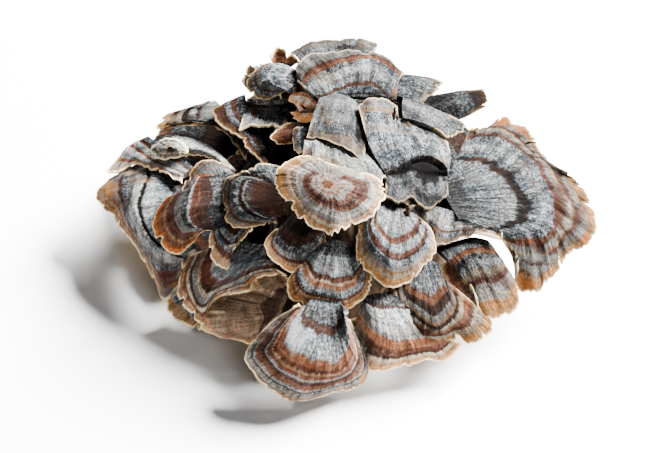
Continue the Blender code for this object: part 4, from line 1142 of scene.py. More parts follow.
class Cap:
    """One bracket, given by its growth rings as points that the picture shows."""

    def __init__(
        self, name: str, slot: Slot, rings: Rings, swell: float = 0.0, closed: bool = False,
        underside: bool = False, thick: float = 1.0,
    ) -> None:
        """Place the growth rings.

        Args:
            name: the CAD node that the cap stands for.
            slot: the slot that its finish belongs to.
            rings: shares of growth, each with points as a column, a row and a height.
            swell: how far the middle of the fan bulges, in millimetres.
            closed: whether the rings run all the way round.
            underside: whether the picture shows the face with the pores.
            thick: how thick the flesh is, as a share of the usual thickness.
        """
        self.name = name
        self.slot = slot
        self.rings = [(share, [seen_at(*point) for point in points]) for share, points in rings]
        self.swell = swell
        self.closed = closed
        self.facing = -TO_EYE if underside else TO_EYE
        self.thick = thick
        self.texture = TEXTURES.get(name, Texture())
        self.bands = PATTERNS.get(name) or SHELF_PATTERNS[slot]
        self.pored_top = underside

    @property
    def seed(self) -> int:
        """A number of the cap's own, for what varies from cap to cap."""
        return sum(ord(letter) * (place + 1) for place, letter in enumerate(self.name))

    def surface(self, across: Points, along: Points) -> Points:
        """The smooth upper face.

        Args:
            across: shares across the fan.
            along: shares of growth.

        Returns:
            Points, rows along the growth and columns across the fan.
        """
        shares = np.array([share for share, _ in self.rings])
        curves = np.array([along_curve(points, across, self.closed) for _, points in self.rings])
        face = smooth_through(shares, curves, along)
        spread = np.cross(face[1:, 1:] - face[:-1, :-1], face[1:, :-1] - face[:-1, 1:]).sum(axis=(0, 1))
        normal = unit(spread) * (1 if spread @ self.facing > 0 else -1)
        lengths = np.linalg.norm(np.diff(face, axis=0), axis=2).sum(axis=0)
        rise = np.minimum(lengths / lengths.mean(), 1.0)[:, None] * normal
        for i, grown in enumerate(along):
            face[i] += rise * self.swell * 4 * grown * (1 - grown)
        return face

    def normals(self, face: Points) -> Points:
        """The way each point of a face looks.

        Args:
            face: the points.

        Returns:
            Directions of length 1.
        """
        over = np.gradient(face, axis=1)
        if self.closed:
            over[:, 0] = over[:, -1] = face[:, 1] - face[:, -2]
        looks = np.cross(over, np.gradient(face, axis=0))
        whole = looks.sum(axis=(0, 1))
        looks = unit(looks * (1 if whole @ self.facing > 0 else -1))
        weak = np.linalg.norm(looks, axis=-1) < 0.5
        looks[weak] = unit(whole) * (1 if whole @ self.facing > 0 else -1)
        return looks

    def sheet(self) -> Sheet:
        """Model the fine faces of the cap.

        Returns:
            The sheet.
        """
        rough = self.surface(np.linspace(0, 1, ROUGH_COLUMNS), np.linspace(0, 1, ROUGH_ROWS))
        widths = np.linalg.norm(np.diff(rough, axis=1), axis=2).sum(axis=1)
        width = float(widths.max())
        reach = float(np.linalg.norm(np.diff(rough, axis=0), axis=2).sum(axis=0).mean())
        step = FINE_STEP
        step = max(step, math.sqrt(width * reach / MOST_CELLS))
        n_across, n_along = max(12, round(width / step)), max(6, round(reach / step))
        shares = np.linspace(0, 1, n_across + 1)
        growth = np.linspace(0, 1, n_along + 1)
        smooth = self.surface(shares, growth)
        normal = self.normals(smooth)
        u, t = np.meshgrid(shares, growth)
        x, y = u * width, t * reach
        zone = self.zone(u, t, width)
        lift, push, under = self.relief(u, t, zone, width, reach)
        outward = unit(np.gradient(smooth, axis=0))
        bent = smooth + outward * push[..., None]
        top = bent + normal * (lift + under)[..., None]
        flesh = self.thick * (RIM_THICKNESS + (ROOT_THICKNESS - RIM_THICKNESS) * (1 - t) ** 1.5)
        flesh *= 1 - 0.35 * eased(t, 1 - 1.2 / max(reach, 2.0), 1.0)
        low = bent + normal * (under - flesh)[..., None]
        return Sheet(top, low, zone, x, y, normal, self.lip(top, t))

    def lip(self, top: Points, t: Points) -> Points:
        """How far each point lies from the free edge, round the sides too.

        Args:
            top: points of the upper face.
            t: their shares of growth.

        Returns:
            Distances in millimetres.
        """
        steps = np.linalg.norm(np.diff(top, axis=0), axis=2)
        rim = np.vstack([np.cumsum(steps[::-1], axis=0)[::-1], np.zeros((1, top.shape[1]))])
        if self.closed:
            return rim
        over = np.linalg.norm(np.diff(top, axis=1), axis=2)
        left = np.hstack([np.zeros((top.shape[0], 1)), np.cumsum(over, axis=1)])
        side = np.minimum(left, left[:, -1:] - left)
        return np.minimum(rim, side + 2.0 * (1 - eased(t, 0.35, 0.75)))

    def zone(self, u: Points, t: Points, width: float) -> Points:
        """How far each point has grown, where the rings wander a little.

        Args:
            u, t: shares across the fan and of growth.
            width: how wide the fan is.

        Returns:
            Shares of growth.
        """
        slow, quick = Relief(self.seed), Relief(self.seed + 1)
        wide = max(3, round(width / 14.0))
        tight = max(5, round(width / 3.2))
        wander = slow.at(u * wide, t * 1.5, wide if self.closed else 0)
        wander = wander + 0.45 * quick.at(u * tight, t * 3.0, tight if self.closed else 0)
        return t + self.texture.wander * wander * np.minimum(1.0, 4.5 * t * (1.12 - t))

    def relief(
        self, u: Points, t: Points, zone: Points, width: float, reach: float,
    ) -> tuple[Points, Points, Points]:
        """The fine form of the sheet, in millimetres.

        Args:
            u, t: shares across the fan and of growth.
            zone: how far each point has grown.
            width, reach: the size of the fan.

        Returns:
            How far the upper face stands up, how far the rim is pushed out, and how far both faces wave.
        """
        noises = [Relief(self.seed + 10 + k) for k in range(8)]

        def read(k: int, cell: float, length: float) -> Points:
            """One of the noises, in cells so wide and so long."""
            count = max(4, round(width / cell))
            return noises[k].at(u * count, t * reach / length, count if self.closed else 0)

        form = self.texture
        near_rim = eased(t, 0.45, 1.0)
        wave = form.ruffle * near_rim * (0.65 * read(0, 7.0, 9.0) + 0.35 * read(1, 2.8, 5.0))
        wave += 0.25 * form.ruffle * eased(t, 0.1, 0.5) * read(2, 9.0, 6.0)
        crease = form.wrinkle * (0.6 * read(3, 1.5, 7.0) + 0.4 * read(4, 0.8, 4.0)) * eased(t, 0.1, 0.5)
        furry = self.fur(zone)
        tufts = form.tuft * furry * (0.55 * read(5, 0.55, 0.9) + 0.45 * read(6, 0.33, 0.45))
        lift = form.proud * (furry - 0.5) + tufts + crease * 0.6
        lift *= 1 - 0.6 * eased(t, 0.96, 1.0)
        notch = 0.5 * read(7, 3.1, 1e6) + 0.35 * read(1, 1.2, 1e6) + 0.25 * read(2, 0.6, 1e6)
        tear = eased(read(3, 1.4, 1e6) + 0.4 * read(4, 0.6, 1e6), 0.62, 0.95)
        push = (form.ragged * notch - form.tear * tear) * eased(t, max(0.5, 1 - 3.0 / reach), 1.0)
        return lift, push, wave + crease * 0.4

    def fur(self, zone: Points) -> Points:
        """How furry the rings are at each point.

        Args:
            zone: how far each point has grown.

        Returns:
            Shares from 0 bare to 1 furry.
        """
        starts = [start for start, _ in self.bands]
        depths = [tone.value.fur for _, tone in self.bands]
        places = np.clip(np.searchsorted(starts, zone.ravel(), side="right") - 1, 0, len(starts) - 1)
        return np.array(depths)[places].reshape(zone.shape)

    def hollow_shades(self, sheet: Sheet, around: Surroundings, side: int) -> Points:
        """How deep each point lies in a hollow, for the painted shade there, read on a coarse grid and spread
        over the sheet.

        Args:
            sheet: the fine faces.
            around: the solids of the cluster.
            side: 1 for the upper face and -1 for the lower.

        Returns:
            Shares from 0 in the open to 1 closed in.
        """
        rows, columns = sheet.zone.shape
        some_rows = np.unique(np.linspace(0, rows - 1, HOLLOW_SHADE_ROWS).astype(int))
        some_columns = np.unique(np.linspace(0, columns - 1, HOLLOW_SHADE_COLUMNS).astype(int))
        face = sheet.top if side > 0 else sheet.under
        coarse = np.array([
            [around.hollow(face[i, j], side * sheet.normal[i, j]) for j in some_columns] for i in some_rows
        ])
        wide = np.array([np.interp(np.arange(columns), some_columns, line) for line in coarse])
        return np.array([np.interp(np.arange(rows), some_rows, line) for line in wide.T]).T

    def model(self, around: Surroundings, low: Points, high: Points) -> bpy.types.Object:
        """Make the cap's mesh, with what its materials read from it.

        Args:
            around: the solids of the cluster.
            low, high: the corners of the box that the piece stays in, in metres.

        Returns:
            The cap.
        """
        sheet = self.sheet()
        rows, columns = sheet.zone.shape
        mesh = slab(self.name + "_flesh", columns - 1, rows - 1, self.closed)
        place = np.empty(len(mesh.vertices) * 3)
        mesh.vertices.foreach_get("co", place)
        place = place.reshape(-1, 3)
        j = np.round((place[:, 0] + 0.5) * (columns - 1)).astype(int)
        i = np.round((place[:, 1] + 0.5) * (rows - 1)).astype(int)
        below = place[:, 2] < -0.5
        points = np.where(below[:, None], sheet.under[i, j], sheet.top[i, j]) * MM
        points = np.clip(points, low + BOX_MARGIN, high - BOX_MARGIN)
        mesh.vertices.foreach_set("co", points.ravel())
        over = sheet.top[rows // 2, columns // 2 + 1] - sheet.top[rows // 2, columns // 2]
        onward = sheet.top[rows // 2 + 1, columns // 2] - sheet.top[rows // 2, columns // 2]
        if np.cross(over, onward) @ sheet.normal[rows // 2, columns // 2] < 0:
            mesh.flip_normals()
        # How closed in each point is, above and beneath, which the materials paint as shade
        above, beneath = self.hollow_shades(sheet, around, 1), self.hollow_shades(sheet, around, -1)
        hollow = np.where(below, beneath[i, j], above[i, j])
        grain = np.stack([sheet.across[i, j], sheet.along[i, j], np.full(len(i), self.seed % 997)], axis=1)
        carry(mesh, "zone", "FLOAT", sheet.zone[i, j])
        carry(mesh, "grain", "FLOAT_VECTOR", grain)
        carry(mesh, "hollow", "FLOAT", hollow)
        carry(mesh, "lip", "FLOAT", sheet.lip[i, j])
        colour, share = self.stains_and_painted_shade(points / MM)
        carry(mesh, "painted_mark", "FLOAT_COLOR", colour)
        carry(mesh, "painted_mark_cover", "FLOAT", share)
        corners = np.empty(len(mesh.loops), dtype=int)
        mesh.loops.foreach_get("vertex_index", corners)
        starts = np.empty(len(mesh.polygons), dtype=int)
        mesh.polygons.foreach_get("loop_start", starts)
        faces = np.logical_and.reduceat(below[corners], starts)
        mesh.polygons.foreach_set("material_index", faces.astype(int))
        mesh.polygons.foreach_set("use_smooth", np.ones(len(faces), dtype=bool))
        mesh.set_sharp_from_angle(angle=SHARP_EDGE)
        piece = bpy.data.objects.new(self.name + "_flesh", mesh)
        bpy.context.scene.collection.objects.link(piece)
        return piece

    def stains_and_painted_shade(self, points: Points) -> tuple[Points, Points]:
        """The local marks on the cap: stains, and painted shade.

        Args:
            points: its points, in millimetres.

        Returns:
            A colour at every point, and how strongly it covers the rings.
        """
        columns, rows = in_picture(points)
        colour = np.zeros((len(points), 4))
        share = np.zeros(len(points))
        ragged = Relief(self.seed + 40).at(columns / 4.0, rows / 4.0)
        for painted_mark in STAINS_AND_PAINTED_SHADE.get(self.name, ()):
            off = np.hypot((columns - painted_mark.column) / painted_mark.wide, (rows - painted_mark.row) / painted_mark.tall)
            cover = painted_mark.strength * eased(1.15 - off + 0.35 * ragged, 0.0, 0.45)
            taken = cover > share
            colour[taken] = painted_mark.tone.value.linear(1.0)
            share = np.maximum(share, cover)
        return colour, share

    def dress(self, piece: bpy.types.Object, shade: float, frost: float) -> None:
        """Give the cap its materials, hang it from the root body and hide the CAD node that it stands for.

        Args:
            piece: the cap's mesh.
            shade: how much of the light the flesh of its group gives back, with the painted light and shade
                of its region.
            frost: how bright the tips of the fur are, against the flesh.
        """
        margin, margin_share = MARGINS.get(self.name, (OCHRE, USUAL_MARGIN))
        # The group's shade and the cap's own factor hold painted light and shade as well as the flesh's tone
        shade = shade * SHADES_AND_PAINTED_LIGHT.get(self.name, 1.0)
        upper = Flesh(self.bands, shade, frost, margin, margin_share)
        lower = PoreFace(max(shade, DARKEST_PORES))
        if self.pored_top:
            upper, lower = lower, upper
        piece.data.materials.append(upper.material(self.name + "_upper"))
        piece.data.materials.append(lower.material(self.name + "_lower"))
        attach(piece, "root")
        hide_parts(self.name)
        log.info("%s: %d points", self.name, len(piece.data.vertices))


class Shelf(Cap):
    """A bracket that the picture hides: a fan on arcs round the base, in real millimetres."""

    def __init__(
        self, name: str, slot: Slot, bearing: float, spread: float, root: tuple[float, float],
        rim: tuple[float, float], swell: float = 1.2,
    ) -> None:
        """Place the two arcs.

        Args:
            name: the CAD node that the shelf stands for.
            slot: the slot that its finish belongs to.
            bearing: the way its middle lies, in degrees.
            spread: how far its rim opens, in degrees.
            root, rim: how far out and how high the two arcs lie.
            swell: how far the middle of the fan bulges.
        """
        super().__init__(name, slot, [], swell)
        self.facing = np.array((0.0, 0.0, 1.0))
        for share, (radius, height), opening in ((0.0, root, SHELF_ROOT_OPENING), (1.0, rim, 1.0)):
            self.rings.append((share, self.arc(bearing, spread * opening, radius, height)))

    @staticmethod
    def arc(bearing: float, spread: float, radius: float, height: float) -> list[Points]:
        """Points of an arc round the base.

        Args:
            bearing: the way its middle lies, in degrees.
            spread: how far it opens, in degrees.
            radius: how far its middle lies from the base's middle.
            height: how high its middle lies.

        Returns:
            Seven points.
        """
        points = []
        for part in np.linspace(-0.5, 0.5, 7):
            turn = math.radians(bearing + spread * part)
            reach = radius * (1 - SHELF_ROUNDNESS * part**2)
            points.append(
                np.array((
                    BASE_CENTRE[0] + reach * math.cos(turn),
                    BASE_CENTRE[1] + reach * math.sin(turn),
                    height - SHELF_DROOP * part**2,
                ))
            )
        return points


def slab(name: str, n_across: int, n_along: int, round_about: bool) -> bpy.types.Mesh:
    """A flat closed slab of squares between -0.5 and 0.5, its lower face at -1.

    Args:
        name: the mesh's name.
        n_across, n_along: how many squares lie each way.
        round_about: whether its left side joins its right one and its near side is one point.

    Returns:
        The mesh.
    """
    solid = bmesh.new()
    bmesh.ops.create_grid(solid, x_segments=n_across, y_segments=n_along, size=0.5)
    grown = bmesh.ops.extrude_face_region(solid, geom=list(solid.faces), use_keep_orig=True)
    lower = [item for item in grown["geom"] if isinstance(item, bmesh.types.BMVert)]
    bmesh.ops.translate(solid, verts=lower, vec=(0.0, 0.0, -1.0))
    bmesh.ops.recalc_face_normals(solid, faces=solid.faces)
    if round_about:
        join_round(solid, n_along)
    mesh = bpy.data.meshes.new(name)
    solid.to_mesh(mesh)
    solid.free()
    return mesh


def join_round(solid: bmesh.types.BMesh, n_along: int) -> None:
    """Join the left side of a slab to its right one, and draw its near side into a point.

    Args:
        solid: the slab.
        n_along: how many squares lie along it.
    """
    side = 0.499999
    centres = {face: face.calc_center_median() for face in solid.faces}
    walls = [face for face, centre in centres.items() if abs(centre.x) > side or centre.y < -side]
    bmesh.ops.delete(solid, geom=walls, context="FACES")
    rows = {vert: (round((vert.co.y + 0.5) * n_along), round(vert.co.z)) for vert in solid.verts}
    left = {rows[vert]: vert for vert in solid.verts if vert.co.x < -side}
    joined = {}
    for vert, row in rows.items():
        if vert.co.x > side or row[0] == 0 and vert != left[row]:
            joined[vert] = left[row]
    bmesh.ops.weld_verts(solid, targetmap=joined)


def carry(mesh: bpy.types.Mesh, name: str, kind: str, values: Points) -> None:
    """Let a mesh carry a value on each of its points.

    Args:
        mesh: the mesh.
        name: the value's name.
        kind: its type.
        values: the values.
    """
    attribute = mesh.attributes.new(name, kind, "POINT")
    key = {"FLOAT": "value", "FLOAT_VECTOR": "vector", "FLOAT_COLOR": "color"}[kind]
    attribute.data.foreach_set(key, np.ascontiguousarray(values, dtype=np.float32).ravel())


@dataclass
class CapGroup:
    """Caps that grow together in one region of the cluster.

    Attributes:
        shade: how much of the light their flesh gives back, with painted light in it: darker on the right and
            along the top, where the key lamp falls hardest, and paler on the left and at the front, which lie
            more in shade.
        frost: how bright the tips of their fur are, against the flesh.
    """

    shade: float
    frost: float

    def table(self) -> list[Cap]:
        """The caps of the region."""
        raise NotImplementedError

    def grow(self, around: Surroundings, low: Points, high: Points) -> None:
        """Model and dress every cap of the region.

        Args:
            around: the solids of the cluster.
            low, high: the corners of the box that the pieces stay in, in metres.
        """
        caps = self.table()
        for cap in caps:
            cap.dress(cap.model(around, low, high), self.shade, self.frost)
        log.info("%s: %d caps", type(self).__name__, len(caps))


@dataclass
class CentreCaps(CapGroup):
    """The round disc on top, the pale sheets behind it and the caps that hang below it."""

    shade: float = 0.15
    frost: float = 2.1

    def table(self) -> list[Cap]:
        """The caps of the region."""
        return [
            Cap("cap_centre_disc", Slot.TAN, [
                (0.0, [(327, 184, 36.2)]),
                (0.5, [(303, 183, 35.2), (310, 172, 36.2), (325, 168, 36.6), (345, 176, 36.0),
                    (363, 187, 34.9), (360, 199, 33.9), (345, 207, 33.2), (325, 206, 33.3),
                    (310, 198, 34.0)]),
                (1.0, [(275, 182, 33.6), (277, 170, 34.8), (290, 158, 36.0), (308, 155, 36.5),
                    (333, 165, 36.6), (366, 173, 35.6), (381, 180, 34.2), (384, 196, 32.8), (376, 215, 31.4),
                    (352, 227, 30.4), (334, 236, 29.6), (318, 230, 29.8), (302, 221, 30.5), (290, 206, 31.6),
                    (279, 194, 32.7)]),
            ], closed=True, swell=0.5, thick=1.3),
            Cap("cap_pale_sheet", Slot.PALE, [
                (0.0, [(306, 134, 33.4), (320, 131, 33.7), (335, 138, 33.7), (350, 145, 33.4),
                    (366, 154, 32.8)]),
                (1.0, [(302, 160, 34.2), (325, 168, 34.4), (350, 178, 33.8), (372, 182, 33.0),
                    (389, 178, 32.4)]),
            ], swell=0.6),
            Cap("cap_pale_flow", Slot.PALE, [
                (0.0, [(320, 97, 35.0), (336, 94, 34.8), (352, 99, 33.4), (362, 108, 32.2)]),
                (1.0, [(306, 137, 35.0), (320, 139, 35.2), (335, 144, 35.1), (350, 152, 34.6),
                    (366, 160, 33.4)]),
            ], swell=0.5, thick=0.6),
            Cap("cap_behind_disc", Slot.PALE, [
                (0.0, [(290, 186, 29.6), (270, 184, 28.4), (250, 182, 26.6)]),
                (1.0, [(284, 165, 31.4), (263, 164.5, 30.4), (249, 168, 29.4), (236, 173, 27.8)]),
            ]),
            Cap("cap_under_disc_left", Slot.BROWN, [
                (0.0, [(297, 210, 27.0), (309, 213, 27.4), (320, 221, 27.2)]),
                (0.5, [(281, 227, 26.0), (279, 240, 24.6), (290, 249, 23.4), (305, 247, 23.6),
                    (316, 240, 24.6), (323, 229, 26.0)]),
                (1.0, [(276, 230, 25.4), (266, 242, 23.6), (268, 255, 21.6), (279, 267, 19.8),
                    (295, 272, 19.2), (309, 273, 19.4), (319, 262, 20.6), (325, 249, 22.4),
                    (326, 236, 24.4)]),
            ], swell=1.4),
            Cap("cap_under_disc_right", Slot.GREY, [
                (0.0, [(387, 203, 29.2), (396, 200, 29.0), (407, 204, 28.4)]),
                (0.5, [(371, 214, 29.2), (369, 232, 27.8), (378, 248, 26.2), (393, 258, 24.8),
                    (405, 254, 24.8), (419, 244, 25.2), (423, 228, 26.6), (413, 213, 28.0)]),
                (1.0, [(361, 221, 28.6), (357, 240, 26.8), (358, 258, 24.4), (370, 276, 22.0),
                    (388, 288, 20.4), (405, 284, 20.4), (425, 268, 21.4), (436, 250, 23.0), (434, 233, 25.2),
                    (416, 215, 27.6)]),
            ], swell=1.8),
            Cap("cap_under_disc_front", Slot.BROWN, [
                (0.0, [(322, 243, 24.8), (337, 240, 25.4), (350, 244, 24.8)]),
                (0.5, [(305, 262, 22.4), (312, 279, 20.6), (330, 285, 20.0), (350, 283, 20.2),
                    (362, 267, 22.0)]),
                (1.0, [(295, 267, 22.6), (286, 282, 20.6), (288, 296, 18.8), (303, 305, 17.4),
                    (322, 310, 16.6), (343, 311, 16.4), (360, 305, 17.2), (371, 292, 18.8), (373, 278, 20.4),
                    (366, 262, 22.6)]),
            ], swell=1.8),
            Cap("cap_inner_curl", Slot.GREY, [
                (0.0, [(314, 130, 32.0), (313, 142, 31.6), (310, 153, 31.4)]),
                (1.0, [(294, 129, 30.4), (291, 137, 29.8), (293, 146, 29.0), (299, 154, 29.2)]),
            ], swell=1.0),
        ]


@dataclass
class RightCaps(CapGroup):
    """The wide fan on the right, the tube-like hollow beside it and the split shell below it."""

    shade: float = 0.092
    frost: float = 2.5

    def table(self) -> list[Cap]:
        """The caps of the region."""
        return [
            Cap("cap_right_fan", Slot.GREY, [
                (0.0, [(448, 170, 28.6), (444, 188, 27.4), (450, 205, 26.8), (458, 217, 26.8)]),
                (0.35, [(456, 160, 28.4), (472, 159, 28.0), (490, 162, 27.4), (507, 172, 26.4),
                    (520, 186, 25.4), (526, 202, 24.4), (521, 218, 24.0), (509, 227, 24.0),
                    (490, 230, 24.4)]),
                (0.72, [(466, 137, 28.6), (484, 134, 28.2), (502, 137, 27.6), (520, 147, 26.6),
                    (537, 162, 25.4), (551, 184, 23.8), (556, 207, 21.8), (550, 230, 20.0), (530, 243, 19.2),
                    (505, 243, 20.8)]),
                (1.0, [(470, 129, 28.8), (487, 126, 28.6), (500, 118, 28.6), (528, 130, 26.8),
                    (540, 153, 25.4), (558, 168, 24.0), (580, 183, 21.8), (594, 206, 19.0), (586, 243, 16.6),
                    (573, 250, 15.8), (560, 270, 14.2), (536, 290, 12.6), (517, 286, 13.4),
                    (514, 265, 16.4)]),
            ], swell=0.3),
            Cap("cap_front_ridge", Slot.PALE, [
                (0.0, [(399, 196, 29.2), (411, 195, 28.8), (424, 202, 28.0), (442, 208, 27.0),
                    (461, 214, 26.2), (481, 220, 25.6), (499, 225, 25.0)]),
                (1.0, [(391, 200, 30.2), (405, 203, 29.6), (416, 212, 28.2), (426, 227, 26.0),
                    (438, 243, 23.4), (449, 243, 22.8), (458, 238, 23.2), (468, 237, 23.0), (474, 232, 23.6),
                    (488, 231, 23.8), (502, 238, 23.0)]),
            ], swell=0.9),
            Cap("cap_tube_hood", Slot.GREY, [
                (0.0, [(385, 173, 32.6), (400, 165, 33.0), (413, 158, 33.2), (427, 155, 33.0),
                    (438, 159, 32.2), (447, 168, 31.0), (448, 176, 29.6)]),
                (0.5, [(369, 145, 34.0), (387, 140, 34.2), (405, 138, 34.0), (425, 139, 33.0),
                    (440, 146, 32.0), (451, 156, 30.6)]),
                (1.0, [(358, 104, 35.2), (370, 99, 35.3), (386, 98, 35.0), (396, 104, 34.5),
                    (398, 117, 34.0), (411, 121, 33.4), (426, 126, 32.4), (440, 133, 31.5),
                    (449, 141, 30.8)]),
            ]),
            Cap("cap_fuzzy_lobe", Slot.GREY, [
                (0.0, [(393, 169, 29.0), (406, 163, 27.0), (420, 159, 25.0), (434, 159, 24.5),
                    (444, 167, 25.5)]),
                (0.45, [(387, 177, 31.8), (399, 179, 31.5), (412, 175, 31.8), (425, 181, 31.0),
                    (437, 180, 30.5), (447, 178, 29.6)]),
                (1.0, [(385, 197, 31.2), (398, 201, 31.0), (412, 197, 31.0), (425, 206, 30.0),
                    (438, 203, 29.6), (449, 193, 29.2)]),
            ]),
            Cap("cap_pale_flap", Slot.PALE, [
                (0.0, [(403, 98, 34.2), (402, 108, 34.4), (403, 118, 34.4)]),
                (0.5, [(436, 112, 32.6), (431, 119, 33.0), (427, 127, 33.2)]),
                (1.0, [(467, 127, 30.0), (458, 133, 30.4), (448, 139, 31.4)]),
            ], swell=0.8),
            Cap("cap_right_split", Slot.TAN, [
                (0.0, [(437, 247, 21.0), (455, 241, 21.4), (476, 237, 21.6), (488, 240, 21.2)]),
                (0.5, [(454, 272, 18.4), (470, 266, 19.4), (486, 260, 19.6), (500, 258, 18.4)]),
                (1.0, [(475, 298, 14.8), (476, 312, 13.0), (487, 318, 12.0), (500, 315, 12.0),
                    (513, 311, 12.0), (521, 300, 12.4), (519, 289, 13.2), (511, 275, 14.2)]),
            ], swell=0.8),
            Cap("cap_right_split_lip", Slot.DARK, [
                (0.0, [(456, 258, 18.4), (470, 270, 16.8), (480, 286, 14.4), (485, 300, 12.4)]),
                (1.0, [(441, 264, 17.6), (443, 277, 16.2), (448, 290, 14.6), (456, 300, 13.0),
                    (474, 308, 11.2)]),
            ]),
            Cap("cap_right_front", Slot.GREY, [
                (0.0, [(411, 263, 21.2), (425, 259, 21.4), (437, 262, 21.0)]),
                (0.65, [(396, 279, 20.0), (399, 300, 17.2), (413, 317, 15.0), (427, 328, 13.6),
                    (437, 330, 13.2), (447, 324, 13.6), (457, 312, 14.6), (452, 288, 17.0)]),
                (1.0, [(383, 288, 19.4), (381, 304, 17.4), (392, 311, 16.2), (403, 320, 14.8),
                    (409, 337, 12.2), (419, 345, 10.8), (431, 345, 10.4), (446, 343, 10.0), (460, 341, 9.8),
                    (470, 345, 9.4), (483, 338, 10.0), (492, 325, 11.2), (488, 314, 12.4)]),
            ], swell=1.2),
        ]


@dataclass
class FrontCaps(CapGroup):
    """The big lowest cap and the one beside it."""

    shade: float = 0.225
    frost: float = 1.9

    def table(self) -> list[Cap]:
        """The caps of the region."""
        return [
            Cap("cap_front", Slot.BROWN, [
                (0.0, [(311, 299, 18.6), (325, 296, 18.8), (340, 299, 18.6)]),
                (0.5, [(303, 306, 18.4), (290, 322, 17.2), (284, 338, 15.0), (291, 352, 13.2),
                    (305, 362, 11.8), (322, 366, 11.2), (340, 363, 11.4), (349, 350, 13.2), (349, 331, 16.0),
                    (345, 315, 18.0)]),
                (1.0, [(298, 303, 20.2), (276, 318, 16.8), (256, 338, 13.0), (245, 358, 9.2),
                    (255, 375, 6.2), (271, 392, 3.4), (292, 401, 1.8), (314, 398, 2.0), (336, 392, 2.6),
                    (354, 388, 3.0), (365, 378, 4.0), (367, 364, 6.4), (361, 342, 10.4), (352, 319, 15.4)]),
            ], swell=2.0, thick=0.7),
            Cap("cap_front_right", Slot.GREY, [
                (0.0, [(362, 297, 17.6), (380, 293, 18.6), (396, 296, 18.4)]),
                (0.55, [(357, 315, 14.6), (371, 330, 13.8), (388, 339, 12.6), (406, 341, 11.6),
                    (424, 338, 11.2), (440, 330, 11.4)]),
                (1.0, [(348, 320, 12.8), (356, 346, 8.2), (365, 367, 5.4), (383, 371, 5.6), (398, 368, 6.2),
                    (415, 364, 6.2), (430, 360, 6.4), (445, 361, 6.0), (456, 353, 7.0), (462, 343, 8.2)]),
            ], swell=1.6),
        ]


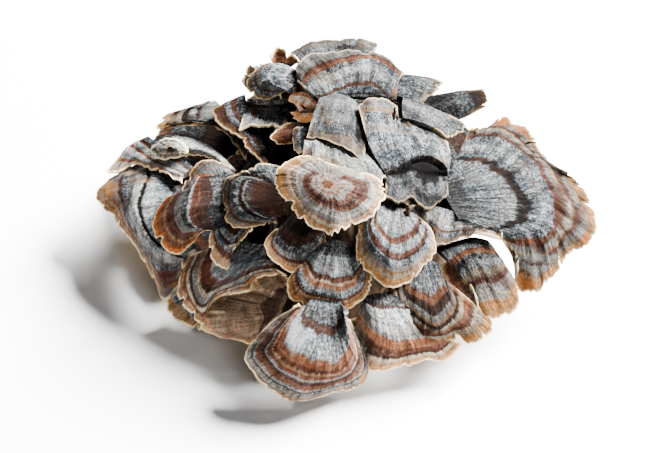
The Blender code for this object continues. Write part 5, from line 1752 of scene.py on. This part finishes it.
@dataclass
class LeftCaps(CapGroup):
    """The stack of curled caps on the left, down to the one that shows its pores."""

    shade: float = 0.27
    frost: float = 1.7

    def table(self) -> list[Cap]:
        """The caps of the region."""
        return [
            Cap("cap_left_square", Slot.BROWN, [
                (0.0, [(284, 189, 28.6), (288, 200, 28.2), (286, 213, 27.4)]),
                (0.5, [(263, 181, 28.4), (247, 184, 27.6), (242, 198, 26.8), (245, 212, 26.2),
                    (259, 219, 26.0), (276, 220, 26.2)]),
                (1.0, [(264, 177, 28.4), (241, 174, 27.0), (226, 178, 26.0), (222, 191, 25.2),
                    (223, 206, 24.4), (226, 223, 23.6), (238, 228, 23.6), (256, 227, 24.0),
                    (277, 225, 25.0)]),
            ], swell=1.2),
            Cap("cap_left_pointed", Slot.BROWN, [
                (0.0, [(229, 219, 22.2), (239, 221, 22.4), (252, 223, 22.6)]),
                (1.0, [(214, 228, 20.8), (209, 240, 19.6), (211, 254, 18.0), (219, 266, 16.8),
                    (228, 268, 16.8), (231, 256, 18.4), (237, 245, 20.0), (245, 237, 21.2),
                    (253, 228, 22.2)]),
            ], swell=0.9),
            Cap("cap_left_orange", Slot.BROWN, [
                (0.0, [(224, 176, 25.6), (228, 194, 24.8), (227, 211, 24.0), (225, 226, 22.8)]),
                (0.45, [(202, 177, 24.6), (196, 192, 23.6), (192, 210, 22.6), (196, 225, 21.4),
                    (207, 231, 21.2)]),
                (1.0, [(198, 182, 23.6), (182, 193, 21.8), (167, 197, 20.4), (157, 207, 19.0),
                    (151, 218, 17.8), (155, 236, 16.6), (166, 249, 15.4), (178, 254.5, 15.2),
                    (190, 246, 16.4), (200, 235, 18.4), (211, 230, 20.4)]),
            ], swell=1.0),
            Cap("cap_left_hood", Slot.GREY, [
                (0.0, [(198, 196, 22.6), (212, 186, 24.0), (226, 180, 25.0), (238, 180, 25.4)]),
                (1.0, [(182, 196, 21.4), (184, 183, 22.4), (190, 172, 23.2), (200, 163.5, 24.2),
                    (212, 160.5, 25.0), (225, 163, 25.6), (235, 173, 26.2)]),
            ], swell=0.6),
            Cap("cap_spiral", Slot.GREY, [
                (0.0, [(171, 148, 24.4)]),
                (1.0, [(190, 153, 23.4), (182, 142, 24.2), (168, 138, 23.8), (156, 141, 22.7),
                    (150, 149, 21.7), (156, 157, 21.1), (172, 157.5, 22.0)]),
            ], closed=True, swell=0.4, thick=0.6),
            Cap("cap_spiral_arm", Slot.GREY, [
                (0.0, [(237, 171, 22.6), (223, 156, 22.6), (206, 143, 22.4), (186, 135, 22.2),
                    (166, 133, 21.6), (152, 140, 20.6)]),
                (0.5, [(229, 168, 24.0), (215, 156, 24.0), (199, 149, 24.0), (182, 146, 23.4),
                    (165, 145, 22.0), (152, 148, 20.8)]),
                (1.0, [(224, 169, 22.6), (211, 161, 22.4), (198, 156, 22.2), (184, 157, 21.4),
                    (168, 158, 20.4), (152, 158, 19.8)]),
            ]),
            Cap("cap_left_crest", Slot.BROWN, [
                (0.0, [(148, 136, 21.6), (163, 148, 21.2), (183, 157, 21.2), (194, 168, 21.2)]),
                (0.5, [(128, 146, 19.0), (142, 158, 19.4), (162, 166, 20.0), (182, 175, 20.6)]),
                (1.0, [(106, 172, 16.2), (116, 172, 16.8), (125, 166, 17.8), (134, 163.5, 18.4),
                    (146, 167, 19.0), (158, 171, 19.6), (170, 176, 20.0), (181, 181.5, 20.3)]),
            ]),
            Cap("cap_left_big", Slot.GREY, [
                (0.0, [(180, 172, 17.2), (188, 196, 17.4), (192, 220, 16.6), (194, 244, 15.0)]),
                (0.5, [(150, 166, 16.2), (143, 188, 16.8), (138, 205, 16.4), (142, 222, 15.6),
                    (150, 236, 14.8), (161, 248, 14.0), (173, 255, 13.4), (185, 259, 12.8)]),
                (1.0, [(120, 170, 14.8), (107, 179, 15.0), (96, 190, 14.2), (99, 203, 13.2),
                    (112, 216, 12.2), (128, 238, 10.8), (145, 268, 8.6), (158, 288, 7.4), (166, 299, 6.6),
                    (176, 287, 8.4), (182, 270, 10.8)]),
            ], swell=1.4),
            Cap("cap_left_lower", Slot.BROWN, [
                (0.0, [(236, 244, 19.0), (258, 244, 19.4), (280, 256, 18.0)]),
                (0.5, [(211, 248, 15.4), (206, 262, 14.4), (204, 278, 12.6), (208, 291, 11.2),
                    (222, 287, 12.4), (240, 279, 14.2), (257, 270, 16.0), (276, 267, 16.8)]),
                (1.0, [(191, 257, 12.2), (184, 267, 11.4), (179, 280, 10.0), (178, 292, 8.8),
                    (184, 304, 7.4), (194, 317, 6.0), (203, 324, 5.4), (211, 305, 8.0), (223, 296, 9.8),
                    (237, 293, 11.2), (249, 292, 12.0), (256, 279, 14.0), (270, 276, 15.2),
                    (287, 276, 16.0)]),
            ], swell=0.8),
            Cap("cap_left_hem", Slot.GREY, [
                (0.0, [(184, 290, 7.2), (196, 300, 6.8), (206, 314, 5.4)]),
                (1.0, [(163, 300, 6.2), (168, 311, 5.2), (177, 318, 4.6), (189, 326, 3.8), (200, 332, 3.2)]),
            ]),
            Cap("cap_lower_pores", Slot.PORES, [
                (0.0, [(269, 332, 6.8), (279, 317, 8.8), (286, 302, 10.8), (292, 291, 12.4)]),
                (1.0, [(252, 345, 3.4), (232, 338.5, 3.0), (213, 335, 3.0), (203, 329, 3.8), (207, 311, 5.8),
                    (217, 300, 7.0), (235, 294, 8.4), (249, 292, 9.2), (257, 280, 11.2), (270, 276, 12.4),
                    (288, 277, 13.2)]),
            ], underside=True),
        ]


@dataclass
class TopCaps(CapGroup):
    """The crumpled caps along the top and back edge."""

    shade: float = 0.092
    frost: float = 2.6

    def table(self) -> list[Cap]:
        """The caps of the region."""
        return [
            Cap("cap_top_fan", Slot.GREY, [
                (0.0, [(327, 106, 33.8), (339, 99, 33.8), (352, 97, 33.6), (366, 97, 33.4),
                    (380, 99, 33.0)]),
                (0.3, [(316, 98, 35.0), (330, 93, 35.0), (345, 87, 35.0), (361, 84, 34.8), (376, 87, 34.2),
                    (388, 97, 33.2)]),
                (0.75, [(303, 87, 35.6), (309, 77, 36.0), (318, 68, 36.2), (333, 63, 36.4), (351, 60, 36.3),
                    (370, 59, 35.8), (388, 64, 35.0), (402, 76, 33.8)]),
                (1.0, [(297, 80, 35.4), (297, 65, 35.8), (306, 56, 36.2), (321, 52, 36.4), (340, 51, 36.4),
                    (360, 51, 36.2), (380, 54, 35.6), (393, 61, 34.8), (405, 74, 33.4)]),
            ], swell=0.6),
            Cap("cap_top_behind", Slot.GREY, [
                (0.0, [(306, 74, 33.6), (332, 73, 33.8), (364, 74, 33.4)]),
                (1.0, [(289, 51, 31.8), (301, 45, 32.4), (320, 40, 33.0), (341, 38, 33.2), (364, 38, 33.0),
                    (379, 43, 32.2)]),
            ], swell=0.6),
            Cap("cap_knot", Slot.GREY, [
                (0.0, [(299, 71, 34.6), (294, 78, 34.8), (300, 86, 34.2)]),
                (0.35, [(284, 66, 34.2), (275, 74, 34.0), (276, 84, 33.6), (288, 91, 33.4)]),
                (1.0, [(268, 64, 33.0), (252, 72, 32.2), (246, 86, 31.2), (252, 96, 30.4), (263, 99, 30.2),
                    (276, 96, 31.0), (289, 92, 32.4)]),
            ], swell=0.8),
            Cap("cap_knot_tab", Slot.TAN, [
                (0.0, [(264, 73, 31.6), (257, 82, 31.0), (252, 90, 30.2)]),
                (1.0, [(262, 64, 33.2), (254, 62, 33.4), (247, 69, 32.6), (243, 82, 31.4)]),
            ]),
            Cap("cap_crown_tab", Slot.BROWN, [
                (0.0, [(292, 67, 32.8), (283, 68, 32.6), (274, 68, 32.0)]),
                (1.0, [(300, 60, 34.6), (290, 53, 35.2), (277, 48, 35.4), (271, 55, 34.6)]),
            ]),
            Cap("cap_orange_curl_upper", Slot.TAN, [
                (0.0, [(292, 93, 33.4), (305, 92, 34.0), (317, 104, 34.0)]),
                (1.0, [(287, 100, 31.8), (293, 105, 31.4), (302, 108, 31.6), (312, 110, 32.6)]),
            ]),
            Cap("cap_orange_curl_lower", Slot.TAN, [
                (0.0, [(299, 112, 32.4), (309, 109, 33.2), (320, 112, 33.4)]),
                (1.0, [(290, 112, 31.2), (293, 119, 30.6), (301, 122, 30.6), (311, 120, 31.6),
                    (321, 118, 32.8)]),
            ]),
            Cap("cap_tongue", Slot.BROWN, [
                (0.0, [(300, 122, 30.8), (306, 130, 31.2), (301, 140, 30.4)]),
                (1.0, [(286, 122, 30.0), (275, 130, 29.2), (270, 137, 28.8), (274, 143, 28.2),
                    (283, 145, 28.2), (293, 143, 28.8)]),
            ]),
            Cap("cap_scoop", Slot.GREY, [
                (0.0, [(247, 98, 29.2), (262, 101, 29.0), (278, 100, 29.2), (292, 98, 29.6)]),
                (0.5, [(244, 112, 28.2), (258, 114, 27.0), (275, 115, 26.8), (288, 114, 27.4)]),
                (1.0, [(239, 129, 28.0), (252, 125, 28.4), (266, 125, 28.6), (282, 128, 28.6)]),
            ]),
            Cap("cap_fin", Slot.BROWN, [
                (0.0, [(245, 94, 30.0), (249, 112, 27.6), (258, 132, 25.6), (271, 158, 24.0)]),
                (1.0, [(213, 109, 28.4), (214, 118, 28.0), (223, 127, 27.6), (233, 132, 27.2),
                    (242, 140, 26.6), (252, 152, 25.8), (265, 165, 25.0)]),
            ], swell=0.4),
            Cap("cap_arch", Slot.DARK, [
                (0.0, [(216, 101, 27.4), (228, 114, 26.4), (238, 130, 25.4), (248, 148, 23.8)]),
                (1.0, [(200, 103, 26.8), (178, 109, 25.6), (167, 113, 24.8), (158, 129, 23.4),
                    (172, 126, 24.2), (191, 125, 25.0), (210, 126, 25.6), (223, 132, 25.6), (236, 143, 25.0),
                    (246, 160, 24.0)]),
            ], swell=0.8),
            Cap("cap_back_wedge", Slot.GREY, [
                (0.0, [(400, 74, 32.6), (398, 86, 32.4), (397, 96, 31.8)]),
                (1.0, [(444, 81, 30.0), (436, 92, 30.2), (425, 108, 29.6)]),
            ], swell=0.5),
            Cap("cap_back_roll", Slot.DARK, [
                (0.0, [(417, 98, 30.6), (418, 110, 30.2), (428, 120, 29.0)]),
                (0.5, [(456, 92, 29.2), (456, 104, 29.4), (459, 120, 27.0)]),
                (1.0, [(482, 90, 27.6), (487, 98, 27.6), (484, 108, 26.6)]),
            ], swell=0.3),
        ]


@dataclass
class InnerCaps(CapGroup):
    """Caps deep in the cluster, of which only shaded parts show; their dark flesh is painted shade."""

    # A very dark flesh: painted shade for the gaps deep in the cluster
    shade: float = 0.05
    frost: float = 2.0

    def table(self) -> list[Cap]:
        """The caps of the region."""
        return [
            Cap("inner_left", Slot.DARK, [
                (0.0, [(268, 138, 17.0), (268, 164, 16.5), (260, 198, 16.0)]),
                (1.0, [(198, 110, 15.5), (166, 122, 15.0), (150, 143, 14.0), (162, 184, 13.5)]),
            ]),
            Cap("inner_upper_left", Slot.DARK, [
                (0.0, [(322, 94, 25.5), (320, 125, 25.0), (312, 150, 24.5), (296, 172, 24.0)]),
                (1.0, [(262, 84, 23.0), (246, 104, 22.5), (246, 125, 22.0), (254, 150, 21.5),
                    (266, 172, 22.0)]),
            ]),
            Cap("inner_crown", Slot.DARK, [
                (0.0, [(292, 124, 27.0), (330, 132, 28.0), (370, 135, 28.0), (412, 130, 27.0)]),
                (1.0, [(276, 86, 27.0), (308, 74, 28.5), (345, 70, 29.0), (385, 72, 28.5), (414, 84, 27.0)]),
            ]),
            Cap("inner_right", Slot.DARK, [
                (0.0, [(440, 215, 21.5), (425, 190, 22.0), (415, 162, 22.5)]),
                (1.0, [(492, 176, 22.0), (486, 152, 22.5), (474, 131, 23.5), (455, 122, 24.5)]),
            ]),
        ]


@dataclass
class HiddenShelves(CapGroup):
    """The brackets that finish the back and the underside, which the picture hides."""

    shade: float = 0.12
    frost: float = 2.0

    def table(self) -> list[Cap]:
        """The caps of the region."""
        return [
            Shelf("shelf_back_left_upper", Slot.GREY, bearing=128, spread=70, root=(17, 20), rim=(36, 18)),
            Shelf("shelf_back_upper", Slot.BROWN, bearing=88, spread=64, root=(16, 23), rim=(38, 21)),
            Shelf("shelf_back_right_upper", Slot.GREY, bearing=48, spread=60, root=(17, 21), rim=(37, 19)),
            Shelf("shelf_left_lower", Slot.BROWN, bearing=158, spread=56, root=(19, 12), rim=(45, 9)),
            Shelf("shelf_back_left_lower", Slot.TAN, bearing=112, spread=60, root=(18, 12), rim=(37, 9)),
            Shelf("shelf_back_right_lower", Slot.BROWN, bearing=62, spread=58, root=(18, 12), rim=(36, 9)),
            Shelf("shelf_right_lower", Slot.GREY, bearing=31, spread=40, root=(19, 12), rim=(43, 8)),
            Shelf("shelf_right_front_lower", Slot.BROWN, bearing=-28, spread=44, root=(18, 9), rim=(33, 5)),
        ]


@dataclass(frozen=True)
class Stump:
    """The woody base: a lumpy fill under the caps, cut flat at the table.

    Attributes:
        node: the CAD node that it stands for.
        sides, rings: how finely it is divided round and from the rim to the middle.
        crumble: how deep its crumbly relief goes, in millimetres.
        shrink: how far inside the solid its outline stays.
        seed: what its lumps are drawn from.
        outside, above: from how far out and how high up the solid is felt for, in metres.
        foot: how high over the table its outline is felt for, in millimetres.
        least: how thin it gets at its edge, in metres.
    """

    node: str = "woody_base"
    sides: int = 220
    rings: int = 90
    crumble: float = 0.5
    shrink: float = 0.985
    seed: int = 901
    outside: float = 0.05
    above: float = 0.1
    foot: float = 0.8
    least: float = 0.0003

    def model(self, solid: bpy.types.Object) -> bpy.types.Object:
        """Lay a fine skin just inside the solid.

        Args:
            solid: the CAD node.

        Returns:
            The stump.
        """
        shape = bmesh.new()
        shape.from_mesh(solid.data)
        tree = BVHTree.FromBMesh(shape)
        shape.free()
        coarse, fine = Relief(self.seed), Relief(self.seed + 1)
        outline = [self.edge(tree, turn) for turn in np.linspace(0, 2 * math.pi, self.sides + 1)]
        mesh = slab("stump", self.sides, self.rings, round_about=True)
        for vert in mesh.vertices:
            side = round((vert.co.x + 0.5) * self.sides)
            share = vert.co.y + 0.5
            turn = 2 * math.pi * side / self.sides
            reach = outline[side] * self.shrink * share
            x = BASE_CENTRE[0] * MM + reach * math.cos(turn)
            y = BASE_CENTRE[1] * MM + reach * math.sin(turn)
            if vert.co.z < -0.5:
                vert.co = (x, y, BOX_MARGIN)
                continue
            hit = tree.ray_cast(Vector((x, y, self.above)), Vector((0, 0, -1)))[0]
            top = hit.z if hit else 0.0
            lumps = np.array((x / MM, y / MM))
            depth = 0.5 + 0.3 * coarse.at(lumps[0] / 2.5, lumps[1] / 2.5) + 0.2 * fine.at(*(lumps / 0.7))
            vert.co = (x, y, max(top - self.crumble * MM * float(depth), self.least))
        # Across and along have become round and out, which turns the faces inwards
        mesh.flip_normals()
        piece = bpy.data.objects.new("stump", mesh)
        bpy.context.scene.collection.objects.link(piece)
        return piece

    def edge(self, tree: BVHTree, turn: float) -> float:
        """How far the solid reaches from its middle at its foot.

        Args:
            tree: the solid.
            turn: the way out, in radians.

        Returns:
            The distance, in metres.
        """
        out = Vector((math.cos(turn), math.sin(turn), 0.0))
        middle = Vector((*BASE_CENTRE, self.foot)) * MM
        hit = tree.ray_cast(middle + out * self.outside, -out)[0]
        return (hit - middle).length

    def dress(self, piece: bpy.types.Object) -> None:
        """Give the stump its bark, hang it from the root body and hide the CAD node that it stands for.

        Args:
            piece: the stump's mesh.
        """
        piece.data.materials.append(Bark().material("stump_bark"))
        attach(piece, "root")
        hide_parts(self.node)
        log.info("stump: %d points", len(piece.data.vertices))


@dataclass(frozen=True)
class Lamp:
    """A soft light.

    Attributes:
        name: its name.
        place: where it hangs, in metres from the middle of the cluster.
        size: how wide its face is, in metres.
        power: its power, in watts.
        colour: its colour.
    """

    name: str
    place: Spot
    size: float
    power: float
    colour: Colour

    def hang(self) -> None:
        """Put the light into the scene, facing the cluster."""
        light = bpy.data.lights.new(self.name, "AREA")
        light.shape = "DISK"
        light.size = self.size
        light.energy = self.power
        light.color = self.colour
        lamp = bpy.data.objects.new(self.name, light)
        lamp.location = self.place
        lamp.rotation_euler = Vector(self.place).to_track_quat("Z", "Y").to_euler()
        bpy.context.scene.collection.objects.link(lamp)


@dataclass(frozen=True)
class Studio:
    """The white surface, the soft lights and the camera.

    Attributes:
        floor_size: how wide the white surface is, in metres.
        sky: how bright the white room round the cluster is.
        nearest, farthest: what the camera sees lies between these, in metres.
        lamps: the lights.
    """

    floor_size: float = 6.0
    sky: float = 0.06
    nearest: float = 0.01
    farthest: float = 20.0
    lamps: tuple[Lamp, ...] = (
        Lamp("key", (0.66, 0.40, 0.55), 0.52, 322.0, (1.0, 0.985, 0.96)),
        Lamp("fill", (0.5, -0.9, 0.9), 0.6, 5.0, (0.95, 0.97, 1.0)),
    )

    def build(self) -> None:
        """Set the whole studio up."""
        self.lay_floor()
        self.light_room()
        for lamp in self.lamps:
            lamp.hang()
        self.aim_camera()

    def lay_floor(self) -> None:
        """Lay the white surface that the cluster rests on."""
        sheet = bmesh.new()
        bmesh.ops.create_grid(sheet, x_segments=1, y_segments=1, size=self.floor_size / 2)
        mesh = bpy.data.meshes.new("white_board")
        sheet.to_mesh(mesh)
        sheet.free()
        floor = bpy.data.objects.new("white_board", mesh)
        bpy.context.scene.collection.objects.link(floor)
        mesh.materials.append(WhiteBoard().material("white_board"))
        floor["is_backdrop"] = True

    def light_room(self) -> None:
        """Light the scene evenly from all round."""
        world = bpy.data.worlds.new("room")
        world.use_nodes = True
        back = world.node_tree.nodes["Background"]
        back.inputs["Color"].default_value = (1.0, 1.0, 1.0, 1.0)
        back.inputs["Strength"].default_value = self.sky
        bpy.context.scene.world = world

    def aim_camera(self) -> None:
        """Stand the camera where the picture was taken from."""
        camera = bpy.data.cameras.new("camera")
        camera.lens = LENS
        camera.sensor_width = SENSOR
        camera.clip_start = self.nearest
        camera.clip_end = self.farthest
        eye = bpy.data.objects.new("camera", camera)
        turn = Matrix((
            (1.0, PICTURE_UP[0], TO_EYE[0]),
            (0.0, PICTURE_UP[1], TO_EYE[1]),
            (0.0, PICTURE_UP[2], TO_EYE[2]),
        ))
        eye.matrix_world = Matrix.Translation(Vector((AIM + DISTANCE * TO_EYE) * MM)) @ turn.to_4x4()
        bpy.context.scene.collection.objects.link(eye)
        bpy.context.scene.camera = eye


def as_lists(corners: tuple[Vector, Vector]) -> list[list[float]]:
    """Two corners as plain lists."""
    return [[float(part) for part in corner] for corner in corners]


def main() -> None:
    """Build the cluster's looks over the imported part."""
    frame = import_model()
    packed = as_lists(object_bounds())
    low, high = (np.array(corner) for corner in packed)
    around = Surroundings(frame["nodes"])
    for group in (CentreCaps(), RightCaps(), FrontCaps(), LeftCaps(), TopCaps(), InnerCaps(),
                  HiddenShelves()):
        group.grow(around, low, high)
    stump = Stump()
    stump.dress(stump.model(frame["nodes"][stump.node]))
    Studio().build()


if __name__ == "__main__":
    main()
